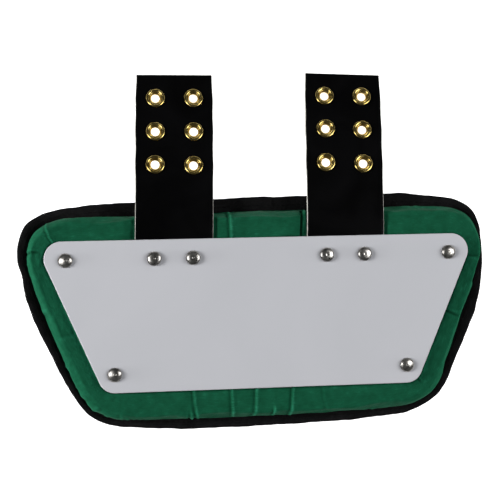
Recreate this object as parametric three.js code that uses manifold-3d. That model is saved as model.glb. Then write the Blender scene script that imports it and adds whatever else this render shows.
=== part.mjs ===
// Back plate of a football shoulder pad set.
// A flat plastic plate is riveted to a soft pad with a taped edge.
// Two coated straps with eyelets come out from under the plate's long edge.
// Millimetres. X is the width, Y runs towards the straps, Z is out of the plate.
// The part lies on its back: z = 0 is the pad's flat back, under the plate's centre.

import * as THREE from 'three';
import { mergeVertices } from 'three/addons/utils/BufferGeometryUtils.js';
import Module from 'manifold-3d';

// Plate: a rounded trapezoid, wide end at the straps.
const PLATE_TOP_WIDTH = 293;
const PLATE_BOTTOM_WIDTH = 207.6;
const PLATE_HEIGHT = 98.8;
const PLATE_TOP_RADIUS = 11.4;
const PLATE_BOTTOM_RADIUS = 11;
const PLATE_THICK = 3;
const PLATE_BEVEL = 0.6;

// Pad: how far its rolled edge stands out past the plate, and its stack of heights.
const BORDER_TOP = 17.1;
const BORDER_BOTTOM = 19.2;
const BORDER_TOP_CORNER = 12.1;
const BORDER_BOTTOM_CORNER = 20.5;
const PAD_TOP_RADIUS = 28;
const PAD_BOTTOM_RADIUS = 38;
const PAD_TURN = 0.8;
const PAD_SHIFT = 1.6;
const PAD_THICK = 20.3;
const ROLL_WIDTH = 13;
const ROLL_MOST = 0.8;
const EDGE_WANDER = 1.2;
const PLATE_SEAT_OUT = 1.2;

// Seam: the cover's two edges lie flat together inside a folded tape.
const SEAM_THICK = 1.4;
const SEAM_INSET = 1.4;
const TAPE_THICK = 1;
const TAPE_SHOW = 10;
const TAPE_UNDER_WIDTH = 9;
const TAPE_LEAST_WIDTH = 5.2;
const TAPE_FLOOR_GAP = 0.2;

// Straps, two inches wide, with three rows of two eyelets.
const STRAP_WIDTH = 50.8;
const STRAP_THICK = 2.2;
const STRAP_SPACING = 114;
const STRAP_LENGTH = 135;
const STRAP_TAIL = 11.6;
const STRAP_LEVEL_PAST_PLATE = 5;
const STRAP_BEND_RUN = 12;
const STRAP_BEND_SHARE = 0.75;
const STRAP_FLOOR_GAP = 0.3;
const STRAP_PRESS_REACH = 7;
const STRAP_PRESS_RISE = 4;

// Eyelets.
const EYELET_HOLE_RADIUS = 3.5;
const EYELET_BARREL_RADIUS = 4.4;
const EYELET_RIM_RADIUS = 6.85;
const EYELET_BACK_RADIUS = 6.1;
const EYELET_RIM_HEIGHT = 1.1;
const EYELET_BACK_THICK = 0.7;
const EYELET_ROWS = 3;
const EYELET_FROM_TIP = 15.9;
const EYELET_ROW_PITCH = 23;
const EYELET_COLUMN_PITCH = 25.3;

// Rivets: a domed head in front and a washer sunk in the pad's back.
const RIVET_HEAD_RADIUS = 4.75;
const RIVET_HEAD_HEIGHT = 2.4;
const RIVET_SHANK_RADIUS = 2.2;
const RIVET_WASHER_RADIUS = 6;
const RIVET_WASHER_THICK = 1.2;
const RIVET_SINK = 1.8;
const RIVET_FROM_TOP = 12.4;
const RIVET_FROM_BOTTOM = 11.9;
const RIVET_TOP_INSET = 14.2;
const RIVET_BOTTOM_INSET = 12.1;
const RIVET_PAIR_PITCH = 25.4;

// Folds in the pad's rolled edge.
const FOLD_WIDTH = 5;
const FOLD_DEPTH = 2.2;

// Room left between neighbouring pieces, and the fineness of the facets.
const CLEAR = 0.3;
const EDGE_STEP = 16;
const FOLD_SPREAD = 0.9;
const LEAST_STEP = 1.6;
const STRAP_PATH_STEP = 0.5;
const RIVET_SIDES = 12;
const EYELET_SIDES = 14;
const HOLE_SIDES = 14;

// Where the edge wanders from the plain rounded outline.
// at: share of the way round, from the middle of the strap side, straps up, to the left.
// plump: share of EDGE_WANDER. tape: share of TAPE_SHOW, how far the tape's outer edge stands out.
const EDGE = [
  { at: 0.000, plump: 0.20, tape: 0.99 },
  { at: 0.033, plump: -0.60, tape: 0.92 },
  { at: 0.076, plump: -0.30, tape: 0.90 },
  { at: 0.118, plump: -0.10, tape: 0.87 },
  { at: 0.141, plump: -0.10, tape: 0.79 },
  { at: 0.169, plump: -0.30, tape: 0.70 },
  { at: 0.191, plump: 0.70, tape: 0.80 },
  { at: 0.207, plump: 0.00, tape: 0.63 },
  { at: 0.225, plump: -0.90, tape: 0.40 },
  { at: 0.244, plump: 0.15, tape: 0.65 },
  { at: 0.261, plump: 0.50, tape: 0.74 },
  { at: 0.277, plump: 0.50, tape: 0.72 },
  { at: 0.293, plump: 0.25, tape: 0.62 },
  { at: 0.322, plump: -0.40, tape: 0.45 },
  { at: 0.337, plump: -0.55, tape: 0.33 },
  { at: 0.351, plump: 0.15, tape: 0.39 },
  { at: 0.368, plump: -0.70, tape: 0.43 },
  { at: 0.386, plump: -0.70, tape: 0.42 },
  { at: 0.402, plump: -0.25, tape: 0.56 },
  { at: 0.430, plump: 0.25, tape: 0.71 },
  { at: 0.479, plump: 0.25, tape: 0.77 },
  { at: 0.526, plump: 0.65, tape: 0.76 },
  { at: 0.578, plump: 0.50, tape: 0.69 },
  { at: 0.611, plump: -0.45, tape: 0.52 },
  { at: 0.631, plump: -0.15, tape: 0.45 },
  { at: 0.648, plump: 0.55, tape: 0.51 },
  { at: 0.678, plump: -0.15, tape: 0.55 },
  { at: 0.709, plump: -0.15, tape: 0.73 },
  { at: 0.728, plump: 0.10, tape: 0.86 },
  { at: 0.746, plump: 0.15, tape: 0.77 },
  { at: 0.762, plump: 0.10, tape: 0.47 },
  { at: 0.780, plump: -0.35, tape: 0.17 },
  { at: 0.798, plump: -0.40, tape: 0.24 },
  { at: 0.816, plump: 0.50, tape: 0.58 },
  { at: 0.841, plump: -0.35, tape: 0.70 },
  { at: 0.871, plump: 0.35, tape: 0.94 },
  { at: 0.916, plump: 0.25, tape: 0.99 },
  { at: 0.961, plump: 0.60, tape: 1.02 },
];

// Folds across the rolled edge, at as above.
// wide: share of FOLD_WIDTH. deep: share of FOLD_DEPTH, less than nothing for a ridge.
// reach: share of the pad's thickness that the fold climbs from the seam.
const FOLDS = [
  { at: 0.027, wide: 0.9, deep: -0.35, reach: 1.0 },
  { at: 0.181, wide: 0.8, deep: 0.45, reach: 1.0 },
  { at: 0.210, wide: 0.9, deep: 0.90, reach: 0.9 },
  { at: 0.286, wide: 0.7, deep: 0.40, reach: 0.5 },
  { at: 0.395, wide: 0.9, deep: 0.50, reach: 0.4 },
  { at: 0.442, wide: 0.8, deep: 0.70, reach: 1.0 },
  { at: 0.472, wide: 1.2, deep: 1.00, reach: 1.0 },
  { at: 0.492, wide: 0.8, deep: 0.60, reach: 1.0 },
  { at: 0.509, wide: 0.7, deep: 0.40, reach: 0.6 },
  { at: 0.525, wide: 0.9, deep: 0.60, reach: 1.0 },
  { at: 0.554, wide: 0.8, deep: 0.40, reach: 0.9 },
  { at: 0.590, wide: 0.8, deep: 0.35, reach: 0.4 },
  { at: 0.703, wide: 0.8, deep: 0.45, reach: 0.7 },
  { at: 0.724, wide: 0.8, deep: 0.50, reach: 0.8 },
  { at: 0.775, wide: 0.9, deep: 0.60, reach: 0.9 },
  { at: 0.966, wide: 0.9, deep: 0.90, reach: 1.0 },
];

// The pad's rolled section, from the seam up to the crown.
// out: share of ROLL_WIDTH inwards from the plump edge. up: share of PAD_THICK.
// fold: how much of a fold's depth shows there.
const ROLL = [
  { out: 0.055, up: 0.320, fold: 0.8 },
  { out: 0.000, up: 0.455, fold: 1.0 },
  { out: 0.040, up: 0.600, fold: 1.0 },
  { out: 0.170, up: 0.770, fold: 1.0 },
  { out: 0.400, up: 0.915, fold: 0.9 },
  { out: 0.710, up: 1.005, fold: 0.6 },
  { out: 1.000, up: 1.030, fold: 0.3 },
];

// The two straps: side of the middle, lean to +X, and how far the tip's cut is off square.
const STRAPS = [
  { name: 'left', side: -1, lean: 2.1, cut: 1.6 },
  { name: 'right', side: 1, lean: 2.0, cut: 0.0 },
];

// Heights worked out from the sizes above.
const PLATE_UNDER_Z = PAD_THICK + CLEAR;
const PLATE_TOP_Z = PLATE_UNDER_Z + PLATE_THICK;
const STRAP_MID_Z = PAD_THICK - STRAP_THICK / 2;
const TAPE_UNDER_Z = TAPE_FLOOR_GAP + TAPE_THICK;
const SEAM_UNDER_Z = TAPE_UNDER_Z + CLEAR;
const SEAM_TOP_Z = SEAM_UNDER_Z + SEAM_THICK;
const TAPE_OVER_Z = SEAM_TOP_Z + CLEAR;
const TAPE_TOP_Z = TAPE_OVER_Z + TAPE_THICK;
const PLATE_SLANT = (PLATE_TOP_WIDTH - PLATE_BOTTOM_WIDTH) / 2 / PLATE_HEIGHT;
const RIVET_TOP_Y = PLATE_HEIGHT / 2 - RIVET_FROM_TOP;
const RIVET_BOTTOM_Y = -PLATE_HEIGHT / 2 + RIVET_FROM_BOTTOM;
const RIVET_SINK_TOP_Z = RIVET_SINK + RIVET_WASHER_THICK;

const wasm = await Module();
wasm.setup();

const toRadians = (degrees) => (degrees * Math.PI) / 180;

// A rounded trapezoid, followed by arc length from the middle of its wide side, to the left.
function roundedTrapezoid(shape) {
  const corners = [
    { x: -shape.topHalf, y: shape.topY, radius: shape.topRadius },
    { x: -shape.bottomHalf, y: shape.bottomY, radius: shape.bottomRadius },
    { x: shape.bottomHalf, y: shape.bottomY, radius: shape.bottomRadius },
    { x: shape.topHalf, y: shape.topY, radius: shape.topRadius },
  ];
  const arcs = corners.map((corner, index) => {
    const before = corners[(index + 3) % 4];
    const after = corners[(index + 1) % 4];
    const here = new THREE.Vector2(corner.x, corner.y);
    const back = new THREE.Vector2(before.x, before.y).sub(here).normalize();
    const ahead = new THREE.Vector2(after.x, after.y).sub(here).normalize();
    const halfAngle = Math.acos(back.dot(ahead)) / 2;
    const reach = corner.radius / Math.tan(halfAngle);
    const bisector = back.clone().add(ahead).normalize();
    const centre = here.clone().addScaledVector(bisector, corner.radius / Math.sin(halfAngle));
    const start = here.clone().addScaledVector(back, reach);
    const end = here.clone().addScaledVector(ahead, reach);
    const turn = Math.PI - 2 * halfAngle;
    const from = Math.atan2(start.y - centre.y, start.x - centre.x);
    return { centre, start, end, from, turn, radius: corner.radius, length: turn * corner.radius };
  });
  const runs = [];
  const middle = new THREE.Vector2(0, shape.topY);
  let last = middle;
  for (const arc of arcs) {
    runs.push({ line: true, start: last, end: arc.start, length: last.distanceTo(arc.start) });
    runs.push({ line: false, arc, length: arc.length });
    last = arc.end;
  }
  runs.push({ line: true, start: last, end: middle, length: last.distanceTo(middle) });
  const total = runs.reduce((sum, run) => sum + run.length, 0);
  const cosTurn = Math.cos(toRadians(shape.turn));
  const sinTurn = Math.sin(toRadians(shape.turn));
  const at = (distance) => {
    let left = ((distance % total) + total) % total;
    let run = runs[0];
    for (const candidate of runs) {
      run = candidate;
      if (left <= candidate.length) break;
      left -= candidate.length;
    }
    const share = Math.min(left / run.length, 1);
    const point = new THREE.Vector2();
    const normal = new THREE.Vector2();
    if (run.line) {
      point.lerpVectors(run.start, run.end, share);
      normal.subVectors(run.end, run.start).normalize();
      normal.set(normal.y, -normal.x);
    } else {
      const angle = run.arc.from + run.arc.turn * share;
      normal.set(Math.cos(angle), Math.sin(angle));
      point.copy(run.arc.centre).addScaledVector(normal, run.arc.radius);
    }
    return {
      x: point.x * cosTurn - point.y * sinTurn + shape.shift,
      y: point.x * sinTurn + point.y * cosTurn,
      nx: normal.x * cosTurn - normal.y * sinTurn,
      ny: normal.x * sinTurn + normal.y * cosTurn,
    };
  };
  return { at, total };
}

// A value from a table that runs round the edge, straight from row to row.
function roundTable(rows, column, at) {
  const share = ((at % 1) + 1) % 1;
  const next = rows.findIndex((row) => row.at > share);
  const high = next < 0 ? rows[0] : rows[next];
  const low = next < 0 ? rows[rows.length - 1] : rows[(next + rows.length - 1) % rows.length];
  const span = (high.at - low.at + 1) % 1;
  const step = (share - low.at + 1) % 1;
  return low[column] + (high[column] - low[column]) * (step / span);
}

// Joins equal rings of points with quads. Open rows get flat end caps, closed rows join up.
function loft(rings, closed) {
  const count = rings[0].length;
  const points = rings.flat();
  const triangles = [];
  const last = closed ? rings.length : rings.length - 1;
  for (let ring = 0; ring < last; ring += 1) {
    const here = ring * count;
    const there = ((ring + 1) % rings.length) * count;
    for (let step = 0; step < count; step += 1) {
      const next = (step + 1) % count;
      triangles.push([here + step, here + next, there + next]);
      triangles.push([here + step, there + next, there + step]);
    }
  }
  if (!closed) {
    const cap = (ring, flip) => {
      const outline = rings[ring].map((point) => new THREE.Vector2(point.x, point.y));
      for (const [a, b, c] of THREE.ShapeUtils.triangulateShape(outline, [])) {
        const base = ring * count;
        triangles.push(flip ? [base + a, base + c, base + b] : [base + a, base + b, base + c]);
      }
    };
    cap(0, true);
    cap(rings.length - 1, false);
  }
  return solidFrom(points, triangles);
}

// A closed solid, turned inside out if its faces came out pointing inwards.
function solidFrom(points, triangles) {
  let volume = 0;
  for (const [a, b, c] of triangles) {
    volume += points[a].dot(points[b].clone().cross(points[c])) / 6;
  }
  const facing = volume < 0 ? triangles.map(([a, b, c]) => [a, c, b]) : triangles;
  const geometry = new THREE.BufferGeometry();
  geometry.setAttribute('position', new THREE.Float32BufferAttribute(
    points.flatMap((point) => [point.x, point.y, point.z]), 3));
  geometry.setIndex(facing.flat());
  return geometry;
}

function toSolid(geometry) {
  const plain = geometry.clone();
  plain.deleteAttribute('normal');
  plain.deleteAttribute('uv');
  const merged = mergeVertices(plain, 1e-4);
  return new wasm.Manifold(new wasm.Mesh({
    numProp: 3,
    vertProperties: new Float32Array(merged.attributes.position.array),
    triVerts: new Uint32Array(merged.index.array),
  }));
}

function toGeometry(solid) {
  const mesh = solid.getMesh();
  const geometry = new THREE.BufferGeometry();
  geometry.setAttribute('position', new THREE.Float32BufferAttribute(mesh.vertProperties, 3));
  geometry.setIndex(Array.from(mesh.triVerts));
  return geometry;
}

function cut(geometry, cutters) {
  let solid = toSolid(geometry);
  for (const cutter of cutters) {
    solid = solid.subtract(toSolid(cutter));
  }
  return toGeometry(solid);
}

// An upright round cutter.
function post(x, y, radius, lowZ, highZ) {
  const cylinder = new THREE.CylinderGeometry(radius, radius, highZ - lowZ, HOLE_SIDES);
  cylinder.rotateX(Math.PI / 2);
  cylinder.translate(x, y, (lowZ + highZ) / 2);
  return cylinder;
}

// Turns a profile of [radius, height] pairs about the Z axis.
function turned(profile, sides) {
  const points = profile.map(([radius, height]) => new THREE.Vector2(radius, height));
  const lathe = new THREE.LatheGeometry(points, sides);
  lathe.rotateX(Math.PI / 2);
  lathe.deleteAttribute('normal');
  lathe.deleteAttribute('uv');
  const merged = mergeVertices(lathe, 1e-4);
  const order = [];
  for (let face = 0; face < merged.index.count; face += 3) {
    const corner = [0, 1, 2].map((step) => merged.index.getX(face + step));
    if (new Set(corner).size === 3) order.push(corner);
  }
  const place = merged.attributes.position;
  const corners = [];
  for (let step = 0; step < place.count; step += 1) {
    corners.push(new THREE.Vector3().fromBufferAttribute(place, step));
  }
  return solidFrom(corners, order);
}

// Strap path, in the plane of its own length: along is the distance from the rivet row.
// The strap lies level under the plate, bends over the pad's edge and comes down to the floor.
function strapPath() {
  const reach = STRAP_LENGTH - STRAP_TAIL;
  const level = RIVET_FROM_TOP + STRAP_LEVEL_PAST_PLATE;
  const bendEnd = level + STRAP_BEND_RUN;
  const shape = (along) => {
    if (along <= level) return 0;
    if (along <= bendEnd) return (STRAP_BEND_SHARE * (along - level)) / STRAP_BEND_RUN;
    return STRAP_BEND_SHARE + ((1 - STRAP_BEND_SHARE) * (along - bendEnd)) / (reach - bendEnd);
  };
  const size = STRAP_PATH_STEP;
  const start = -STRAP_TAIL - STRAP_THICK;
  const follow = (droop) => {
    const steps = [];
    let run = start;
    let z = STRAP_MID_Z;
    for (let along = start; along <= reach + STRAP_THICK; along += size) {
      const slope = droop * shape(along);
      steps.push({ run, z, slope });
      run += Math.cos(slope) * size;
      z -= Math.sin(slope) * size;
    }
    return steps;
  };
  const pick = (steps, along) => {
    const place = Math.min(Math.max((along - start) / size, 0), steps.length - 1.001);
    const low = steps[Math.floor(place)];
    const high = steps[Math.floor(place) + 1];
    const share = place - Math.floor(place);
    return {
      run: low.run + (high.run - low.run) * share,
      z: low.z + (high.z - low.z) * share,
      slope: low.slope + (high.slope - low.slope) * share,
    };
  };
  const tipUnder = (droop) => {
    const tip = pick(follow(droop), reach);
    return tip.z - (STRAP_THICK / 2) * Math.cos(tip.slope);
  };
  let low = 0;
  let high = toRadians(45);
  for (let round = 0; round < 40; round += 1) {
    const middle = (low + high) / 2;
    if (tipUnder(middle) > STRAP_FLOOR_GAP) low = middle;
    else high = middle;
  }
  const steps = follow(low);
  return { reach, level, bendEnd, at: (along) => pick(steps, along) };
}

const path = strapPath();

// A point on a strap: across its width, along from the rivet row, lifted off its middle.
function onStrap(strap, across, along, lift) {
  const here = path.at(along);
  const lean = toRadians(strap.lean);
  const run = here.run + lift * Math.sin(here.slope);
  return new THREE.Vector3(
    (strap.side * STRAP_SPACING) / 2 + run * Math.sin(lean) + across * Math.cos(lean),
    RIVET_TOP_Y + run * Math.cos(lean) - across * Math.sin(lean),
    here.z + lift * Math.cos(here.slope),
  );
}

// A flat band along a strap, between two widths and two lifts.
function strapBand(strap, halfWidth, lowLift, highLift, from, to) {
  const places = [from];
  for (let step = 0; step <= 3; step += 1) {
    places.push(path.level + (STRAP_BEND_RUN * step) / 3);
  }
  for (let step = 1; step <= 4; step += 1) {
    places.push(path.bendEnd + ((to - path.bendEnd) * step) / 4);
  }
  const slant = Math.tan(toRadians(strap.cut));
  const rings = places.map((along) => {
    const skew = along === to ? slant : 0;
    return [
      onStrap(strap, -halfWidth, along - halfWidth * skew, lowLift),
      onStrap(strap, halfWidth, along + halfWidth * skew, lowLift),
      onStrap(strap, halfWidth, along + halfWidth * skew, highLift),
      onStrap(strap, -halfWidth, along - halfWidth * skew, highLift),
    ];
  });
  const points = rings.flat();
  const triangles = [];
  for (let ring = 0; ring < rings.length - 1; ring += 1) {
    for (let side = 0; side < 4; side += 1) {
      const a = ring * 4 + side;
      const b = ring * 4 + ((side + 1) % 4);
      triangles.push([a, b, b + 4], [a, b + 4, a + 4]);
    }
  }
  const end = (rings.length - 1) * 4;
  triangles.push([0, 2, 1], [0, 3, 2], [end, end + 1, end + 2], [end, end + 2, end + 3]);
  return solidFrom(points, triangles);
}

// How high the pad may stand at a place, pressed down beside and under the straps.
function pressedHeight(x, y, z) {
  let height = z;
  for (const strap of STRAPS) {
    const lean = toRadians(strap.lean);
    const dx = x - (strap.side * STRAP_SPACING) / 2;
    const dy = y - RIVET_TOP_Y;
    const along = dx * Math.sin(lean) + dy * Math.cos(lean);
    const beside = Math.abs(dx * Math.cos(lean) - dy * Math.sin(lean)) - STRAP_WIDTH / 2;
    if (along > path.level && beside < STRAP_PRESS_REACH) {
      const here = path.at(Math.min(along, path.reach));
      const under = here.z - STRAP_THICK / 2 - 2 * CLEAR;
      const share = Math.max(beside - CLEAR, 0) / STRAP_PRESS_REACH;
      height = Math.min(height, under + STRAP_PRESS_RISE * share * share);
    }
  }
  return height;
}

const plateOutline = roundedTrapezoid({
  topHalf: PLATE_TOP_WIDTH / 2,
  bottomHalf: PLATE_BOTTOM_WIDTH / 2,
  topY: PLATE_HEIGHT / 2,
  bottomY: -PLATE_HEIGHT / 2,
  topRadius: PLATE_TOP_RADIUS,
  bottomRadius: PLATE_BOTTOM_RADIUS,
  turn: 0,
  shift: 0,
});

const padOutline = roundedTrapezoid({
  topHalf: PLATE_TOP_WIDTH / 2 + BORDER_TOP * PLATE_SLANT + BORDER_TOP_CORNER,
  bottomHalf: PLATE_BOTTOM_WIDTH / 2 - BORDER_BOTTOM * PLATE_SLANT + BORDER_BOTTOM_CORNER,
  topY: PLATE_HEIGHT / 2 + BORDER_TOP,
  bottomY: -PLATE_HEIGHT / 2 - BORDER_BOTTOM,
  topRadius: PAD_TOP_RADIUS,
  bottomRadius: PAD_BOTTOM_RADIUS,
  turn: PAD_TURN,
  shift: PAD_SHIFT,
});

// The places round the edge that the pad and its tape are worked out at.
function edgeStations() {
  const places = [];
  const count = Math.round(padOutline.total / EDGE_STEP);
  for (let step = 0; step < count; step += 1) {
    places.push({ share: step / count, keep: false });
  }
  for (const fold of FOLDS) {
    const spread = (FOLD_SPREAD * fold.wide * FOLD_WIDTH) / padOutline.total;
    places.push({ share: fold.at, keep: true });
    places.push({ share: fold.at - spread, keep: true });
    places.push({ share: fold.at + spread, keep: true });
  }
  for (const strap of STRAPS) {
    for (const edge of [-1, 1]) {
      for (const beside of [CLEAR, STRAP_PRESS_REACH]) {
        const lean = Math.sin(toRadians(strap.lean)) * (path.bendEnd - path.level);
        const x = (strap.side * STRAP_SPACING) / 2 + lean + edge * (STRAP_WIDTH / 2 + beside);
        places.push({ share: (PAD_SHIFT - x) / padOutline.total, keep: true });
      }
    }
  }
  const least = LEAST_STEP / padOutline.total;
  const sorted = places
    .map((place) => ({ ...place, share: ((place.share % 1) + 1) % 1 }))
    .sort((one, other) => one.share - other.share);
  const kept = sorted.filter((place) => place.keep || !sorted.some((other) => (
    other.keep && Math.abs(other.share - place.share) < 2 * least)));
  return kept.filter((place, index) => index === 0 || place.share - kept[index - 1].share > least);
}

// The point of the plate's outline that is nearest to a place.
function nearestOnPlate(x, y) {
  let best = null;
  for (let distance = 0; distance < plateOutline.total; distance += 1) {
    const point = plateOutline.at(distance);
    const gap = Math.hypot(point.x - x, point.y - y);
    if (!best || gap < best.gap) best = { point, gap };
  }
  return best.point;
}

const stations = edgeStations().map(({ share }) => {
  const base = padOutline.at(share * padOutline.total);
  const plump = EDGE_WANDER * roundTable(EDGE, 'plump', share);
  const tape = TAPE_SHOW * roundTable(EDGE, 'tape', share);
  const lip = Math.max(tape - plump + CLEAR, TAPE_LEAST_WIDTH);
  const near = nearestOnPlate(base.x - base.nx * ROLL_WIDTH, base.y - base.ny * ROLL_WIDTH);
  const seat = new THREE.Vector3(
    near.x + near.nx * PLATE_SEAT_OUT, near.y + near.ny * PLATE_SEAT_OUT, PAD_THICK);
  const inwards = new THREE.Vector3(
    seat.x - base.x - base.nx * plump, seat.y - base.y - base.ny * plump, 0);
  const roll = Math.min(ROLL_WIDTH, ROLL_MOST * inwards.length());
  inwards.normalize();
  return { share, base, plump, tape, lip, seat, inwards, roll };
});

// A point at a station: out from the plain outline, at a height.
function atStation(station, out, z) {
  const { base } = station;
  return new THREE.Vector3(base.x + base.nx * out, base.y + base.ny * out, z);
}

function foldAt(share, climb) {
  let depth = 0;
  for (const fold of FOLDS) {
    const apart = Math.abs(((share - fold.at + 1.5) % 1) - 0.5) * padOutline.total;
    const away = apart / (fold.wide * FOLD_WIDTH);
    const fade = THREE.MathUtils.smoothstep(fold.reach + 0.15 - climb, 0, 0.3);
    depth += fold.deep * FOLD_DEPTH * Math.exp(-away * away * 2) * fade;
  }
  return depth;
}

// Pad: flat back, a thin seam all round, the rolled edge, and a flat seat for the plate.
function buildPad() {
  const ring = (place) => stations.map(place);
  const rings = [];
  const backIn = TAPE_UNDER_WIDTH + CLEAR;
  rings.push(ring((at) => atStation(at, at.tape - backIn - CLEAR, 0)));
  rings.push(ring((at) => atStation(at, at.tape - backIn, SEAM_UNDER_Z)));
  rings.push(ring((at) => atStation(at, at.tape - SEAM_INSET, SEAM_UNDER_Z)));
  rings.push(ring((at) => atStation(at, at.tape - SEAM_INSET, SEAM_TOP_Z)));
  rings.push(ring((at) => atStation(at, at.tape - at.lip - CLEAR, SEAM_TOP_Z)));
  rings.push(ring((at) => atStation(at, at.tape - at.lip - CLEAR, TAPE_TOP_Z + CLEAR)));
  for (const row of ROLL) {
    rings.push(ring((at) => {
      const fold = foldAt(at.share, row.up) * row.fold;
      const inwards = at.inwards.clone().multiplyScalar(at.roll * row.out + fold);
      const point = atStation(at, at.plump, PAD_THICK * row.up).add(inwards);
      point.z = pressedHeight(point.x, point.y, point.z - fold * row.up * 0.5);
      return point;
    }));
  }
  rings.push(ring((at) => at.seat.clone()));
  return loft(rings, false);
}

// Tape: one strip folded round the seam, with a wider hidden underside.
function buildTape() {
  const section = stations.map((at) => [
    atStation(at, at.tape - TAPE_UNDER_WIDTH, TAPE_FLOOR_GAP),
    atStation(at, at.tape - TAPE_THICK * 0.6, TAPE_FLOOR_GAP),
    atStation(at, at.tape, TAPE_FLOOR_GAP + TAPE_THICK),
    atStation(at, at.tape, TAPE_TOP_Z - TAPE_THICK),
    atStation(at, at.tape - TAPE_THICK * 0.6, TAPE_TOP_Z),
    atStation(at, at.tape - at.lip, TAPE_TOP_Z),
    atStation(at, at.tape - at.lip, TAPE_OVER_Z),
    atStation(at, at.tape - TAPE_THICK, TAPE_OVER_Z),
    atStation(at, at.tape - TAPE_THICK, TAPE_UNDER_Z),
    atStation(at, at.tape - TAPE_UNDER_WIDTH, TAPE_UNDER_Z),
  ]);
  return loft(section, true);
}

function buildPlate() {
  const places = [];
  const corner = [PLATE_TOP_RADIUS, PLATE_BOTTOM_RADIUS];
  const fine = Math.min(...corner) / 4;
  for (let distance = 0; distance < plateOutline.total; distance += fine) {
    places.push(plateOutline.at(distance));
  }
  const bends = places.filter((place, index) => {
    const before = places[(index + places.length - 1) % places.length];
    const after = places[(index + 1) % places.length];
    const straight = before.nx * after.nx + before.ny * after.ny > 0.99999;
    return !straight;
  });
  const ring = (inset, z) => bends.map((place) => new THREE.Vector3(
    place.x - place.nx * inset, place.y - place.ny * inset, z));
  return loft([
    ring(0, PLATE_UNDER_Z),
    ring(0, PLATE_TOP_Z - PLATE_BEVEL),
    ring(PLATE_BEVEL, PLATE_TOP_Z),
  ], false);
}

// The rivets: four at the plate's corners and a pair on each strap.
function rivetPlaces() {
  const sideX = (y) => PLATE_TOP_WIDTH / 2 - (PLATE_HEIGHT / 2 - y) * PLATE_SLANT;
  const topX = sideX(RIVET_TOP_Y) - RIVET_TOP_INSET;
  const bottomX = sideX(RIVET_BOTTOM_Y) - RIVET_BOTTOM_INSET;
  const places = [
    { name: 'rivet_top_left', x: -topX, y: RIVET_TOP_Y },
    { name: 'rivet_top_right', x: topX, y: RIVET_TOP_Y },
    { name: 'rivet_bottom_left', x: -bottomX, y: RIVET_BOTTOM_Y },
    { name: 'rivet_bottom_right', x: bottomX, y: RIVET_BOTTOM_Y },
  ];
  for (const strap of STRAPS) {
    for (const [label, side] of [['outer', strap.side], ['inner', -strap.side]]) {
      places.push({
        name: `rivet_strap_${strap.name}_${label}`,
        x: (strap.side * STRAP_SPACING) / 2 + (side * RIVET_PAIR_PITCH) / 2,
        y: RIVET_TOP_Y,
        strap,
      });
    }
  }
  return places;
}

const rivets = rivetPlaces();
const shankHole = RIVET_SHANK_RADIUS + CLEAR;

function rivetShape() {
  const head = PLATE_TOP_Z + CLEAR;
  return turned([
    [0, RIVET_SINK],
    [RIVET_WASHER_RADIUS, RIVET_SINK],
    [RIVET_WASHER_RADIUS, RIVET_SINK_TOP_Z],
    [RIVET_SHANK_RADIUS, RIVET_SINK_TOP_Z],
    [RIVET_SHANK_RADIUS, head],
    [RIVET_HEAD_RADIUS, head],
    [RIVET_HEAD_RADIUS * 0.92, head + RIVET_HEAD_HEIGHT * 0.4],
    [RIVET_HEAD_RADIUS * 0.58, head + RIVET_HEAD_HEIGHT * 0.84],
    [0, head + RIVET_HEAD_HEIGHT],
  ], RIVET_SIDES);
}

function eyeletShape() {
  const front = STRAP_THICK / 2 + CLEAR;
  const crest = front + EYELET_RIM_HEIGHT;
  const back = -front - EYELET_BACK_THICK;
  return turned([
    [EYELET_HOLE_RADIUS, back],
    [EYELET_BACK_RADIUS, back],
    [EYELET_BACK_RADIUS, -front],
    [EYELET_BARREL_RADIUS, -front],
    [EYELET_BARREL_RADIUS, front],
    [EYELET_RIM_RADIUS, front],
    [EYELET_RIM_RADIUS - EYELET_RIM_HEIGHT * 0.45, crest],
    [(EYELET_RIM_RADIUS + EYELET_HOLE_RADIUS) / 2, crest - EYELET_RIM_HEIGHT * 0.45],
    [EYELET_HOLE_RADIUS + EYELET_RIM_HEIGHT * 0.7, crest],
    [EYELET_HOLE_RADIUS, crest - EYELET_RIM_HEIGHT * 0.4],
    [EYELET_HOLE_RADIUS, back],
  ], EYELET_SIDES);
}

// Where each eyelet sits, and the turn that lays it on the sloping strap.
function eyeletPlaces(strap) {
  const places = [];
  for (let row = 0; row < EYELET_ROWS; row += 1) {
    const along = path.reach - EYELET_FROM_TIP - row * EYELET_ROW_PITCH;
    for (const [label, side] of [['outer', strap.side], ['inner', -strap.side]]) {
      const spot = onStrap(strap, (side * EYELET_COLUMN_PITCH) / 2, along, 0);
      const turn = new THREE.Euler(-path.at(along).slope, 0, -toRadians(strap.lean), 'ZXY');
      places.push({ name: `eyelet_${strap.name}_${row + 1}_${label}`, spot, turn });
    }
  }
  return places;
}

function eyeletHole(place) {
  const reach = STRAP_THICK * 3;
  const hole = post(0, 0, EYELET_BARREL_RADIUS + CLEAR, -reach / 2, reach / 2);
  hole.applyMatrix4(new THREE.Matrix4().makeRotationFromEuler(place.turn));
  hole.translate(place.spot.x, place.spot.y, place.spot.z);
  return hole;
}

const material = (color, roughness, metalness) => (
  new THREE.MeshStandardMaterial({ color, roughness, metalness }));
const backPlate = new THREE.Group();

function add(name, geometry, surface) {
  const flat = geometry.index ? geometry.toNonIndexed() : geometry;
  flat.computeVertexNormals();
  const mesh = new THREE.Mesh(flat, surface);
  mesh.name = name;
  backPlate.add(mesh);
  return mesh;
}

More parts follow.
